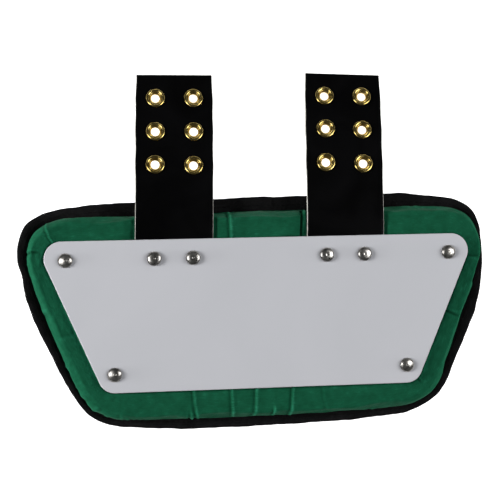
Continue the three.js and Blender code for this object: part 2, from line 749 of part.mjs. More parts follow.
const holesThrough = rivets.map((rivet) => (
  post(rivet.x, rivet.y, shankHole, -PLATE_THICK, PLATE_TOP_Z + PLATE_THICK)));
const washerSinks = rivets.map((rivet) => (
  post(rivet.x, rivet.y, RIVET_WASHER_RADIUS + CLEAR, -PLATE_THICK, RIVET_SINK_TOP_Z + CLEAR)));
const strapGrooves = STRAPS.map((strap) => strapBand(
  strap, STRAP_WIDTH / 2 + CLEAR, -STRAP_THICK / 2 - CLEAR, PLATE_THICK * 3,
  -STRAP_TAIL - CLEAR, path.reach));

add('plate', cut(buildPlate(), holesThrough), material(0xe4e5e6, 0.45, 0));
add('pad', cut(buildPad(), [...strapGrooves, ...holesThrough, ...washerSinks]),
  material(0x1a6a48, 0.6, 0));
add('binding', buildTape(), material(0x141414, 0.8, 0));

for (const strap of STRAPS) {
  const band = strapBand(
    strap, STRAP_WIDTH / 2, -STRAP_THICK / 2, STRAP_THICK / 2, -STRAP_TAIL, path.reach);
  const own = rivets.filter((rivet) => rivet.strap === strap);
  const places = eyeletPlaces(strap);
  const holes = [
    ...own.map((rivet) => post(rivet.x, rivet.y, shankHole, 0, PLATE_TOP_Z)),
    ...places.map(eyeletHole),
  ];
  add(`strap_${strap.name}`, cut(band, holes), material(0x0d0d0e, 0.4, 0));
  for (const place of places) {
    const eyelet = add(place.name, eyeletShape(), material(0xb08d4a, 0.3, 1));
    eyelet.position.copy(place.spot);
    eyelet.rotation.copy(place.turn);
  }
}

for (const rivet of rivets) {
  const mesh = add(rivet.name, rivetShape(), material(0xb9b9b6, 0.25, 1));
  mesh.position.set(rivet.x, rivet.y, 0);
}

export default backPlate;
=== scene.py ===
import math

import bmesh
import bpy
import numpy as np
from mathutils import Matrix, Vector


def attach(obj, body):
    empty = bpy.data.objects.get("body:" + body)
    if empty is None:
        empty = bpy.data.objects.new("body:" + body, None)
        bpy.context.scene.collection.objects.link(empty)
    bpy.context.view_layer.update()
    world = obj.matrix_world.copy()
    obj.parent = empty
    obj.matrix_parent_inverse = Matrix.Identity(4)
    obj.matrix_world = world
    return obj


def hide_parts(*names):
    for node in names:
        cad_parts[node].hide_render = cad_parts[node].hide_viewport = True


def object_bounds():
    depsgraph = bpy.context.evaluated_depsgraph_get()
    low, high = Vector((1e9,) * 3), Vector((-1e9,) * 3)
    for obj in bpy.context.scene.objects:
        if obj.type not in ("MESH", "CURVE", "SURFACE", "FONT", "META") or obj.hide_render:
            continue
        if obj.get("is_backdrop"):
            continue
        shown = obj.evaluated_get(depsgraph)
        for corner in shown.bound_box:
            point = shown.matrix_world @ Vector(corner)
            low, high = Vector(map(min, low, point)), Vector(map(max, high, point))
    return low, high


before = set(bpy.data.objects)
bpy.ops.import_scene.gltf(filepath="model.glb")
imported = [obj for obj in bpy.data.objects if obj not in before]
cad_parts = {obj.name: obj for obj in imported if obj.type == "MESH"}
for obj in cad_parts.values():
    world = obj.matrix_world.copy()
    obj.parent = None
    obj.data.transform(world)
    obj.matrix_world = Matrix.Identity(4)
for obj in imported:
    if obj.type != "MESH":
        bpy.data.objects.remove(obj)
scene = bpy.context.scene
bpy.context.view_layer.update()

# Studio. A white table lit from below, the key light on the left and a weaker one on the right, each with a
# grazing panel under it, a faint one in front, and a dim room. Two small lamps show only in the metal.
# The camera stands almost straight above and a little to the left, as the photograph's did.
scene.view_settings.view_transform = "Standard"
scene.view_settings.look = "None"

FLOOR_HALF, FLOOR_DROP = 4.0, 0.0004
floor_corners = np.array([(-1, -1, 0), (1, -1, 0), (1, 1, 0), (-1, 1, 0)]) * FLOOR_HALF
floor_corners[:, 2] = -FLOOR_DROP
floor_mesh = bpy.data.meshes.new("studio_floor")
floor_mesh.from_pydata(floor_corners.tolist(), [], [(0, 1, 2, 3)])
floor = bpy.data.objects.new("studio_floor", floor_mesh)
scene.collection.objects.link(floor)
floor_material = bpy.data.materials.new("pale_paper")
floor_material.use_nodes = True
floor_shader = floor_material.node_tree.nodes["Principled BSDF"]
floor_shader.inputs["Base Color"].default_value = (0.8, 0.8, 0.8, 1)
floor_shader.inputs["Roughness"].default_value = 0.9
floor_shader.inputs["Specular IOR Level"].default_value = 0.1
floor_shader.inputs["Emission Color"].default_value = (1, 1, 1, 1)
floor_shader.inputs["Emission Strength"].default_value = 1.05
floor_mesh.materials.append(floor_material)
floor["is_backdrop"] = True

scene.world = bpy.data.worlds.new("studio_air")
scene.world.use_nodes = True
air = scene.world.node_tree.nodes["Background"]
air.inputs["Color"].default_value = (0.95, 0.97, 1.0, 1)
air.inputs["Strength"].default_value = 0.05


def soft_box(name, place, aim, width, height, watts, mirrored):
    """A rectangular lamp at a place, turned so that it looks at the aim point. A mirrored one shows in
    shiny pieces and lights nothing else, and another lights everything and shows in nothing."""
    lamp = bpy.data.lights.new(name, "AREA")
    lamp.shape = "RECTANGLE"
    lamp.size = width
    lamp.size_y = height
    lamp.energy = watts
    box = bpy.data.objects.new(name, lamp)
    scene.collection.objects.link(box)
    away = np.array(place, float) - np.array(aim, float)
    box.location = place
    box.rotation_mode = "QUATERNION"
    box.rotation_quaternion = Vector(away).to_track_quat("Z", "Y")
    box.visible_camera = False
    box.visible_glossy = mirrored
    box.visible_diffuse = not mirrored


soft_box("panel_left", (-2.75, 0.3, 1.28), (0, 0.02, 0), 1.0, 0.9, 124, False)
soft_box("panel_low", (-3.0, -0.2, 0.36), (0, 0.02, 0), 1.0, 0.4, 58, False)
soft_box("panel_right", (2.46, 0.25, 1.63), (0, 0.02, 0), 1.3, 1.6, 86, False)
soft_box("panel_low_right", (3.0, -0.1, 0.36), (0, 0.02, 0), 1.0, 0.4, 26, False)
soft_box("panel_front", (0.2, -2.4, 1.3), (0, 0.02, 0), 2.0, 1.2, 3, False)
soft_box("glint_left", (-0.37, 0.02, 0.31), (-0.08, 0.04, 0.02), 0.2, 0.27, 1.5, True)
soft_box("glint_right", (0.34, 0.06, 0.31), (0.08, 0.04, 0.02), 0.2, 0.27, 1.5, True)

YAW, ROLL = math.radians(8.023), math.radians(1.294)
CAMERA_SHIFT = np.array([7.666, -41.064, -900.0])
PLATE_FRONT = 23.6
FOCAL_PIXELS, FRAME_PIXELS, SENSOR_WIDTH = 1373.02, 500, 36
yaw_turn = np.array([[math.cos(YAW), 0, math.sin(YAW)], [0, 1, 0], [-math.sin(YAW), 0, math.cos(YAW)]])
roll_turn = np.array([[math.cos(ROLL), -math.sin(ROLL), 0], [math.sin(ROLL), math.cos(ROLL), 0], [0, 0, 1]])
camera_turn = (roll_turn @ yaw_turn).T
camera_place = (-camera_turn @ CAMERA_SHIFT + np.array([0, 0, PLATE_FRONT])) / 1000
camera_data = bpy.data.cameras.new("camera")
camera_data.sensor_width = SENSOR_WIDTH
camera_data.lens = FOCAL_PIXELS / FRAME_PIXELS * SENSOR_WIDTH
camera_data.clip_start = 0.01
camera = bpy.data.objects.new("camera", camera_data)
scene.collection.objects.link(camera)
camera.matrix_world = Matrix.Translation(camera_place.tolist()) @ Matrix(camera_turn.tolist()).to_4x4()
scene.camera = camera

# Pad. A foam core in a green woven nylon cover that rolls over its edge down to a flat seam.
# The cover is sewn a little full, so it puckers at the seam and creases where the plate and straps hold it.
# The straps press on its edge, so their path is worked out here first.
PLATE_TOP_WIDTH, PLATE_BOTTOM_WIDTH, PLATE_HEIGHT = 293.0, 207.6, 98.8
PLATE_TOP_RADIUS, PLATE_BOTTOM_RADIUS = 11.4, 11.0
BORDER_TOP, BORDER_BOTTOM, BORDER_TOP_CORNER, BORDER_BOTTOM_CORNER = 17.1, 19.2, 12.1, 20.5
PAD_TOP_RADIUS, PAD_BOTTOM_RADIUS, PAD_TURN, PAD_SHIFT, PAD_THICK = 28.0, 38.0, 0.8, 1.6, 20.3
ROLL_WIDTH, ROLL_MOST, PLATE_SEAT_OUT, EDGE_WANDER, TAPE_SHOW = 13.0, 0.8, 1.2, 1.2, 10.0
TAPE_LEAST_WIDTH, TAPE_UNDER_WIDTH, CLEAR = 5.2, 9.0, 0.3
SEAM_UNDER, SEAM_TOP, TAPE_FLOOR = 1.5, 2.9, 0.2
STRAP_WIDTH, STRAP_THICK, STRAP_SPACING, STRAP_TAIL = 50.8, 2.2, 114.0, 11.6
RIVET_FROM_TOP, RIVET_FROM_BOTTOM = 12.4, 11.9
RIVET_ROW = PLATE_HEIGHT / 2 - RIVET_FROM_TOP
STRAP_REACH, STRAP_LEVEL, STRAP_BEND_RUN = 123.4, 17.4, 12.0
STRAP_LEANS = {"left": 2.1, "right": 2.0}
STRAP_SIDES = {"left": -1, "right": 1}
SLANT = (PLATE_TOP_WIDTH - PLATE_BOTTOM_WIDTH) / 2 / PLATE_HEIGHT

along_table = np.arange(-STRAP_TAIL - 3, STRAP_REACH + 3, 0.25)
bend_end = STRAP_LEVEL + STRAP_BEND_RUN
droop_share = np.interp(along_table, [STRAP_LEVEL, bend_end, STRAP_REACH], [0, 0.75, 1])


def strap_heights(droop):
    """Run and height of a strap's middle for a droop angle: sums of cos and sin of the slope along it."""
    slope = droop * droop_share
    step = np.diff(along_table, prepend=along_table[0])
    run = along_table[0] + np.cumsum(np.cos(slope) * step)
    height = PAD_THICK - STRAP_THICK / 2 - np.cumsum(np.sin(slope) * step)
    return run, height, slope


droop_low, droop_high = 0.0, 0.8
for _ in range(40):
    droop = (droop_low + droop_high) / 2
    tip_height = np.interp(STRAP_REACH, along_table, strap_heights(droop)[1])
    if tip_height - STRAP_THICK / 2 > 0.3:
        droop_low = droop
    else:
        droop_high = droop
run_table, height_table, slope_table = strap_heights(droop_low)


def rounded_trapezoid(share, top_half, bottom_half, top_y, bottom_y, top_radius, bottom_radius,
                      turn, shift):
    """Points and outward directions round a rounded trapezoid, for shares 0 to 1 of its length.
    It starts in the middle of the top side and goes left. A side is start + (end - start) * t,
    and a corner is centre + radius * (cos angle, sin angle)."""
    corners = np.array([[-top_half, top_y], [-bottom_half, bottom_y],
                        [bottom_half, bottom_y], [top_half, top_y]])
    radius = np.array([top_radius, bottom_radius, bottom_radius, top_radius])[:, None]
    back = np.roll(corners, 1, 0) - corners
    ahead = np.roll(corners, -1, 0) - corners
    back /= np.linalg.norm(back, axis=1)[:, None]
    ahead /= np.linalg.norm(ahead, axis=1)[:, None]
    half = np.arccos((back * ahead).sum(1))[:, None] / 2
    bisector = (back + ahead) / np.linalg.norm(back + ahead, axis=1)[:, None]
    centre = corners + bisector * radius / np.sin(half)
    start = corners + back * radius / np.tan(half)
    end = corners + ahead * radius / np.tan(half)
    sweep = (np.pi - 2 * half)[:, 0]
    first = np.arctan2(start[:, 1] - centre[:, 1], start[:, 0] - centre[:, 0])
    middle = np.array([[0, top_y]])
    line_from = np.vstack([middle, end])
    line_to = np.vstack([start, middle])
    lengths = np.zeros(9)
    lengths[0::2] = np.linalg.norm(line_to - line_from, axis=1)
    lengths[1::2] = sweep * radius[:, 0]
    ends = np.concatenate([[0], np.cumsum(lengths)])
    distance = (np.asarray(share) % 1) * ends[-1]
    run = np.clip(np.searchsorted(ends, distance, side="right") - 1, 0, 8)
    part = ((distance - ends[run]) / lengths[run])[:, None]
    line = run // 2
    corner = np.clip(run // 2, 0, 3)
    angle = (first[corner] + sweep[corner] * part[:, 0])[:, None]
    round_way = np.hstack([np.cos(angle), np.sin(angle)])
    line_way = line_to[line] - line_from[line]
    straight = line_from[line] + line_way * part
    line_way = np.stack([line_way[:, 1], -line_way[:, 0]], 1)
    line_way /= np.linalg.norm(line_way, axis=1)[:, None]
    bent = (run % 2 == 1)[:, None]
    point = np.where(bent, centre[corner] + radius[corner] * round_way, straight)
    way = np.where(bent, round_way, line_way)
    spin = math.radians(turn)
    matrix = np.array([[math.cos(spin), math.sin(spin)], [-math.sin(spin), math.cos(spin)]])
    return point @ matrix + np.array([shift, 0]), way @ matrix, ends[-1]


plate_shape = (PLATE_TOP_WIDTH / 2, PLATE_BOTTOM_WIDTH / 2, PLATE_HEIGHT / 2, -PLATE_HEIGHT / 2,
               PLATE_TOP_RADIUS, PLATE_BOTTOM_RADIUS, 0, 0)
pad_shape = (PLATE_TOP_WIDTH / 2 + BORDER_TOP * SLANT + BORDER_TOP_CORNER,
             PLATE_BOTTOM_WIDTH / 2 - BORDER_BOTTOM * SLANT + BORDER_BOTTOM_CORNER,
             PLATE_HEIGHT / 2 + BORDER_TOP, -PLATE_HEIGHT / 2 - BORDER_BOTTOM,
             PAD_TOP_RADIUS, PAD_BOTTOM_RADIUS, PAD_TURN, PAD_SHIFT)
PAD_ROUND = rounded_trapezoid(np.zeros(1), *pad_shape)[2]

# at: share of the way round. plump: how far the roll stands out, in EDGE_WANDER.
# tape: how far the tape's outer edge stands out from the roll, in TAPE_SHOW.
EDGE_AT = [0.000, 0.033, 0.076, 0.118, 0.141, 0.169, 0.191, 0.207, 0.225, 0.244, 0.261, 0.277, 0.293,
           0.322, 0.337, 0.351, 0.368, 0.386, 0.402, 0.430, 0.479, 0.526, 0.578, 0.611, 0.631, 0.648,
           0.678, 0.709, 0.728, 0.746, 0.764, 0.779, 0.789, 0.799, 0.812, 0.836, 0.871, 0.916, 0.961]
EDGE_PLUMP = [0.75, 0.50, 0.00, 0.33, 0.22, -0.38, 0.60, -0.50, -1.45, -0.36, 0.00, -0.08, -0.20,
              -0.80, -1.50, -0.29, -1.10, -1.12, -0.60, -0.03, 0.55, 0.77, 0.39, -0.59, -0.77, -0.20,
              -1.24, -0.93, -0.90, -0.74, -1.40, -1.70, -1.60, -1.50, -0.30, -0.40, 0.59, 0.30, 0.45]
EDGE_TAPE = [0.99, 0.98, 0.93, 0.91, 0.82, 0.62, 0.86, 0.62, 0.35, 0.72, 0.75, 0.73, 0.62,
             0.45, 0.31, 0.42, 0.44, 0.43, 0.57, 0.75, 0.81, 0.80, 0.74, 0.54, 0.49, 0.57,
             0.60, 0.82, 0.95, 0.81, 0.56, 0.19, 0.15, 0.34, 0.67, 0.64, 0.99, 0.99, 1.00]


def round_value(share, values):
    """A value from the edge table, straight between rows, then evened out over about 4 mm."""
    offsets = np.linspace(-0.005, 0.005, 9)
    weights = np.exp(-(offsets / 0.0025) ** 2)
    rows = np.interp(share[None, :] + offsets[:, None], EDGE_AT, values, period=1)
    return (rows * weights[:, None]).sum(0) / weights.sum()


def cubic(before, here, there, after, t):
    """Catmull-Rom: the cubic from here (t = 0) to there (t = 1) that leans on the points before and after."""
    return 0.5 * (2 * here + (there - before) * t + (2 * before - 5 * here + 4 * there - after) * t ** 2
                  + (3 * here - before - 3 * there + after) * t ** 3)


def through_points(points, count):
    """Rows along a smooth curve through control rows, a cubic for each pair of rows."""
    place = np.linspace(0, len(points) - 1, count)
    low = np.clip(place.astype(int), 0, len(points) - 2)
    t = (place - low)[:, None, None]
    before = points[np.clip(low - 1, 0, len(points) - 1)]
    here = points[low]
    there = points[low + 1]
    after = points[np.clip(low + 2, 0, len(points) - 1)]
    return cubic(before, here, there, after, t)


def pressed(points):
    """Lowers points under and beside the straps: height is at most the strap's underside,
    plus a rise that grows with the square of the distance from the strap's edge."""
    x, y = points[..., 0], points[..., 1]
    height = points[..., 2].copy()
    for name, lean in STRAP_LEANS.items():
        tilt = math.radians(lean)
        dx = x - STRAP_SIDES[name] * STRAP_SPACING / 2
        dy = y - RIVET_ROW
        along = dx * math.sin(tilt) + dy * math.cos(tilt)
        beside = np.abs(dx * math.cos(tilt) - dy * math.sin(tilt)) - STRAP_WIDTH / 2
        under = np.interp(along, along_table, height_table) - STRAP_THICK / 2 - 0.15
        rise = 4.5 * (np.clip(beside - 0.2, 0, 9) / 7) ** 2
        near = (beside < 9) & (along > RIVET_FROM_TOP - 3)
        height = np.where(near, np.minimum(height, under + rise), height)
    return np.dstack([x, y, height]) if points.ndim == 3 else np.column_stack([x, y, height])


def edge_rows(count):
    """The rolled edge of the pad as control rows round the pad: foot at the seam, the roll, the crown,
    and the seat of the plate, which sinks in deeper at its lower right. Each row is the plump edge plus
    a share of the way in to the seat."""
    share = np.arange(count) / count
    base, way, _ = rounded_trapezoid(share, *pad_shape)
    plump = EDGE_WANDER * round_value(share, EDGE_PLUMP)
    tape = TAPE_SHOW * round_value(share, EDGE_TAPE)
    lip = np.maximum(tape - plump + CLEAR, TAPE_LEAST_WIDTH)
    fine = np.arange(4000) / 4000
    plate_points, plate_ways, _ = rounded_trapezoid(fine, *plate_shape)
    inner = base - way * ROLL_WIDTH
    nearest = ((inner[:, None, :] - plate_points[None]) ** 2).sum(2).argmin(1)
    seat = plate_points[nearest] + plate_ways[nearest] * PLATE_SEAT_OUT
    edge = base + way * plump[:, None]
    inwards = seat - edge
    border = np.linalg.norm(inwards, axis=1)[:, None]
    inwards /= border
    roll = np.minimum(ROLL_WIDTH, ROLL_MOST * border)
    foot = base + way * (tape - lip - CLEAR)[:, None]
    rows = [(foot, 3.0), (foot, 4.0), (edge + inwards * 0.9, 5.4)]
    for out, up in ((0.03, 0.36), (0.0, 0.46), (0.03, 0.6), (0.11, 0.75), (0.26, 0.92), (0.41, 1.015),
                    (0.66, 1.03), (0.88, 1.045)):
        rows.append((edge + inwards * roll * out, PAD_THICK * up))
    rows.append((seat, PAD_THICK * 1.055))
    brink = plate_points[nearest] + plate_ways[nearest] * 0.2
    sag = np.clip(plate_ways[nearest] @ np.array([0.55, -0.84]) * 1.3, 0, 1)
    rows.append((brink, PAD_THICK * (1.008 - 0.05 * sag)))
    under = plate_points[nearest] - plate_ways[nearest] * 3
    rows.append((under, PAD_THICK))
    return np.array([np.column_stack([xy, np.zeros(count) + z]) for xy, z in rows])


def faced_outwards(mesh):
    """Turns a closed mesh inside out where its volume, summed with its faces' sign, is below 0."""
    shell = bmesh.new()
    shell.from_mesh(mesh)
    if shell.calc_volume(signed=True) < 0:
        bmesh.ops.reverse_faces(shell, faces=shell.faces)
    shell.to_mesh(mesh)
    shell.free()


def finished_piece(name, mesh, materials):
    """An object at the origin for a mesh, shaded smooth, with its materials."""
    mesh.polygons.foreach_set("use_smooth", np.ones(len(mesh.polygons), bool))
    for material in materials:
        mesh.materials.append(material)
    piece = bpy.data.objects.new(name, mesh)
    scene.collection.objects.link(piece)
    return piece


def closed_skin(name, grid, round_length, materials, cap_first=True, cap_last=True):
    """A mesh from rows of points that close round, in millimetres. Open ends get a fan to their middle
    point. The UV map holds the distance round and the distance along the rows, in metres."""
    rows, columns = grid.shape[:2]
    vertices = grid.reshape(-1, 3)
    row = np.arange(rows - 1)[:, None]
    column = np.arange(columns)[None, :]
    following = (column + 1) % columns
    faces = np.stack([row * columns + column, row * columns + following,
                      (row + 1) * columns + following, (row + 1) * columns + column], -1).reshape(-1, 4)
    across = np.concatenate([[0], np.cumsum(np.linalg.norm(np.diff(grid[:, 0], axis=0), axis=1))])
    u = np.stack([column + 0 * row, column + 1 + 0 * row, column + 1 + 0 * row, column + 0 * row], -1)
    v = np.stack([across[row + 0 * column], across[row + 0 * column],
                  across[row + 1 + 0 * column], across[row + 1 + 0 * column]], -1)
    uv = np.stack([u * round_length / columns, v], -1).reshape(-1, 2)
    extra_faces, extra_uv = [], []
    for wanted, ring, flip in ((cap_first, 0, True), (cap_last, rows - 1, False)):
        if wanted:
            middle = len(vertices)
            vertices = np.vstack([vertices, grid[ring].mean(0)])
            here = ring * columns + np.arange(columns)
            there = ring * columns + (np.arange(columns) + 1) % columns
            fan = np.stack([there, here, np.full(columns, middle)] if flip
                           else [here, there, np.full(columns, middle)], 1)
            extra_faces.append(fan)
            extra_uv.append(vertices[fan.ravel()][:, :2])
    all_faces = faces.tolist()
    for fan in extra_faces:
        all_faces += fan.tolist()
    mesh = bpy.data.meshes.new(name)
    mesh.from_pydata((vertices / 1000).tolist(), [], all_faces)
    layer = mesh.uv_layers.new(name="weave")
    all_uv = np.vstack([uv] + extra_uv) / 1000
    layer.data.foreach_set("uv", all_uv.ravel())
    faced_outwards(mesh)
    return finished_piece(name, mesh, materials)


def puffed(rows, held_rows, pressure, fullness, cap):
    """Cloth simulation of an open band of rows that close round: the first and last rows are held, the rest
    swells under pressure, and no point moves further than the cap in mm. Gives the moved rows."""
    count_rows, columns = rows.shape[:2]
    row = np.arange(count_rows - 1)[:, None]
    column = np.arange(columns)[None, :]
    following = (column + 1) % columns
    faces = np.stack([row * columns + column, (row + 1) * columns + column,
                      (row + 1) * columns + following, row * columns + following], -1).reshape(-1, 4)
    mesh = bpy.data.meshes.new("puff")
    mesh.from_pydata((rows.reshape(-1, 3) / 1000).tolist(), [], faces.tolist())
    body = bpy.data.objects.new("puff", mesh)
    scene.collection.objects.link(body)
    held = body.vertex_groups.new(name="held")
    held.add(list(range(held_rows * columns)), 1.0, "REPLACE")
    held.add(list(range((count_rows - held_rows) * columns, count_rows * columns)), 1.0, "REPLACE")
    cloth = body.modifiers.new("fill", "CLOTH")
    cloth.settings.quality = 6
    cloth.settings.mass = 0.15
    cloth.settings.tension_stiffness = 15
    cloth.settings.compression_stiffness = 12
    cloth.settings.shear_stiffness = 5
    cloth.settings.bending_stiffness = 0.4
    cloth.settings.shrink_min = -fullness
    cloth.settings.use_pressure = True
    cloth.settings.uniform_pressure_force = pressure
    cloth.settings.effector_weights.gravity = 0
    cloth.settings.vertex_group_mass = "held"
    cloth.collision_settings.use_self_collision = False
    cloth.point_cache.frame_start = 1
    cloth.point_cache.frame_end = 20
    for step in range(1, 21):
        scene.frame_set(step)
    graph = bpy.context.evaluated_depsgraph_get()
    moved = np.empty(count_rows * columns * 3, np.float32)
    body.evaluated_get(graph).data.vertices.foreach_get("co", moved)
    moved = moved.reshape(count_rows, columns, 3).astype(float) * 1000
    scene.frame_set(1)
    bpy.data.objects.remove(body)
    bpy.data.meshes.remove(mesh)
    change = moved - rows
    length = np.linalg.norm(change, axis=2, keepdims=True)
    return rows + change * np.minimum(1, cap / np.maximum(length, 1e-6))


def finer_round(rows, factor):
    """More columns round the pad: a cubic through each four neighbouring columns."""
    here = rows[:, :, None, :]
    before, there, after = (np.roll(rows, k, 1)[:, :, None, :] for k in (1, -1, -2))
    t = (np.arange(factor) / factor)[None, None, :, None]
    return cubic(before, here, there, after, t).reshape(rows.shape[0], -1, 3)


COARSE, FINE = 240, 5
band = pressed(through_points(edge_rows(COARSE), 30))
band = puffed(band, held_rows=3, pressure=5.0, fullness=0.012, cap=1.4)
for _ in range(3):
    band = (np.roll(band, 1, 1) + 2 * band + np.roll(band, -1, 1)) / 4
band = finer_round(band, FINE)
band = through_points(band, 46)
COLUMNS = COARSE * FINE
share_round = np.arange(COLUMNS) / COLUMNS
base, way, _ = rounded_trapezoid(share_round, *pad_shape)


def held_to_edge(rows):
    """Moves each column in or out so that its furthest point stands where the edge table has it:
    the shift, evened out over about 12 mm, times how far out the row stands between seat and edge."""
    out = ((rows[..., :2] - base) * way).sum(2)
    shift = EDGE_WANDER * round_value(share_round, EDGE_PLUMP) - out.max(0)
    shift = sum(np.roll(shift, step) for step in range(-7, 8)) / 15
    weight = np.clip((out - out[-1]) / (out.max(0) - out[-1]), 0, 1)
    moved = rows.copy()
    moved[..., :2] += way * (shift * weight)[..., None]
    return moved


band = held_to_edge(band)
climb = np.linspace(0, 1, band.shape[0])[:, None]

# Creases across the rolled edge: place at the widest part of the roll and at the plate, in mm round the
# pad, where it starts and ends on the way up (0 seam, 1 plate), half its width, the height of its ridge,
# the depth of the groove beside it, and the side that the groove lies on.
CREASES = [
    (348.7, 345.1, 0.28, 1.05, 1.00, 0.75, 0.50, -1), (343.9, 342.4, 0.28, 0.72, 0.90, 0.70, 0.50, -1),
    (372.1, 370.4, 0.28, 1.05, 1.05, 0.75, 0.50, -1), (385.7, 386.4, 0.28, 1.05, 1.10, 0.70, 0.60, -1),
    (398.1, 398.9, 0.28, 0.74, 0.90, 0.70, 0.50, -1), (409.3, 411.2, 0.28, 1.05, 1.00, 0.75, 0.60, -1),
    (436.3, 431.5, 0.40, 0.95, 1.20, 0.30, 0.30, -1), (466.0, 465.0, 0.16, 0.45, 1.20, 0.40, 0.20, -1),
    (310.0, 309.5, 0.16, 0.40, 1.30, 0.30, 0.30, 1), (19.0, 19.6, 0.20, 1.05, 1.00, 0.80, 0.60, 1),
    (753.6, 756.6, 0.16, 1.05, 1.10, 0.55, 1.50, 1), (139.3, 144.8, 0.25, 1.00, 1.00, 0.70, 0.40, 1),
    (162.6, 158.7, 0.20, 0.85, 1.05, 0.35, 1.10, 1), (609.4, 604.5, 0.50, 0.97, 1.00, 0.25, 0.80, 1),
    (570.4, 570.0, 0.34, 0.68, 1.00, 0.40, 1.00, -1), (567.0, 566.4, 0.56, 0.94, 1.00, 0.35, 0.90, -1),
    (223.4, 225.9, 0.50, 0.94, 1.30, 0.20, 0.30, -1), (510.0, 508.5, 0.70, 1.00, 1.30, 0.40, 0.20, -1),
    (204.0, 203.0, 0.20, 0.60, 2.20, 0.35, 0.25, 1), (588.0, 587.0, 0.20, 0.60, 2.00, 0.30, 0.20, 1),
    (264.0, 268.0, 0.20, 0.70, 2.20, 0.40, 0.30, 1), (277.0, 281.0, 0.20, 0.60, 2.00, 0.45, 0.30, 1),
    (287.0, 291.0, 0.20, 0.55, 1.80, 0.40, 0.30, -1), (118.0, 118.0, 0.20, 0.45, 1.80, 0.30, 0.20, 1),
    (677.0, 676.0, 0.20, 0.50, 1.80, 0.30, 0.20, 1), (243.0, 240.0, 0.20, 0.55, 2.40, 0.30, 0.20, 1),
]
# Places where a stitch pulls the cover's foot in and the tape's lip up over it, in mm round the pad.
TUCKS = np.array([309.0, 344.1, 372.1, 399.8, 422.7, 443.2, 463.8, 500.0, 158.0, 184.0, 206.0, 536.0,
                  590.0, 630.1, 638.2, 655.0, 690.0, 745.0, 33.0, 82.2, 105.0])


def apart_round(share, places):
    """Distance in mm round the pad from each place, the short way round: rows are places."""
    return (share * PAD_ROUND - places + PAD_ROUND / 2) % PAD_ROUND - PAD_ROUND / 2


def outward(rows):
    """Unit directions out of a grid that closes round: the cross product of its neighbour differences."""
    ahead = np.roll(rows, -1, 1) - np.roll(rows, 1, 1)
    up = np.gradient(rows, axis=0)
    direction = np.cross(ahead, up)
    direction /= np.maximum(np.linalg.norm(direction, axis=2, keepdims=True), 1e-9)
    return direction * (1 if direction[len(rows) // 2, :, :].dot([0, 0, 1]).mean() > 0 else -1)


def step_up(value, low, high):
    """Smooth rise from 0 at low to 1 at high: 3 t^2 - 2 t^3."""
    t = np.clip((value - low) / (high - low), 0, 1)
    return t * t * (3 - 2 * t)


lift = np.zeros(band.shape[:2])
# Each crease's ridge and groove also go into the fold attribute, which is painted into the cover's colour: a
# painted highlight on the ridge and painted shade in the groove.
painted_fold_shading = np.zeros(band.shape[:2])
for edge_at, seat_at, begin, end, width, height, depth, side in CREASES:
    centre = edge_at + (seat_at - edge_at) * (climb - 0.31) / 0.54 + 0.4 * np.sin(climb * 6 + edge_at)
    apart = apart_round(share_round, centre)
    fade = step_up(climb, begin, begin + 0.12) * (1 - step_up(climb, end - 0.15, end))
    ridge = np.exp(-(apart / width) ** 2) * fade * height
    groove = np.exp(-((apart - side * 1.7 * width) / (0.85 * width)) ** 2) * fade * depth
    lift += ridge - groove
    painted_fold_shading += ridge - groove
# Each tuck draws the foot in, long waves run round the roll, and short puckers show on its upper half,
# most of all on the left where the cover is slack.
tuck = np.exp(-np.abs(apart_round(share_round, TUCKS[:, None]) / 1.7) ** 1.6).max(0)
lift -= 1.0 * tuck * (1 - step_up(climb, 0.1, 0.34))
dice = np.random.default_rng(7)
for waves, strength, low, high in ((34, 0.10, 0.05, 0.5), (61, 0.07, 0.05, 0.38), (97, 0.04, 0.02, 0.3),
                                   (22, 0.12, 0.2, 0.95), (47, 0.06, 0.3, 0.98)):
    phase = dice.uniform(0, 6.28, 3)
    gust = 0.6 + 0.4 * np.sin(share_round * 6.283 * dice.integers(3, 9) + phase[1])
    ripple = np.sin(share_round * 6.283 * waves + phase[0] + 1.5 * np.sin(climb * 4 + phase[2]))
    fade = step_up(climb, low * 0.5, low) * (1 - step_up(climb, high * 0.7, high))
    lift += strength * ripple * gust * fade
slack = 0.3 + 0.7 * step_up(share_round, 0.15, 0.2) * (1 - step_up(share_round, 0.42, 0.46))
for waves, strength, turn in ((109, 0.14, 9), (163, 0.15, -14), (211, 0.12, 11)):
    phase = dice.uniform(0, 6.28, 3)
    gust = 0.5 + 0.5 * np.sin(share_round * 6.283 * dice.integers(17, 31) + phase[0] + 3 * climb)
    ripple = np.sin(share_round * 6.283 * waves + turn * climb + phase[1])
    fade = slack * step_up(climb, 0.3, 0.42) * (1 - step_up(climb, 0.5, 0.75))
    lift += strength * ripple * gust * fade
band = pressed(band + outward(band) * lift[..., None])

tape_out = TAPE_SHOW * round_value(share_round, EDGE_TAPE)
ring_back = base + way * (tape_out - TAPE_UNDER_WIDTH - 0.6)[:, None]
ring_step = base + way * (tape_out - TAPE_UNDER_WIDTH - 0.2)[:, None]
ring_seam = base + way * (tape_out - 1.6)[:, None]


def flat_ring(ring, height):
    """A ring of points at one height."""
    return np.column_stack([ring, np.full(len(ring), height)])


back_rows = []
for inwards in np.concatenate([np.linspace(0.06, 0.5, 4), np.linspace(0.53, 1, 25)]):
    back_rows.append(flat_ring(ring_back * inwards, 0.0))
back_rows = np.array(back_rows)
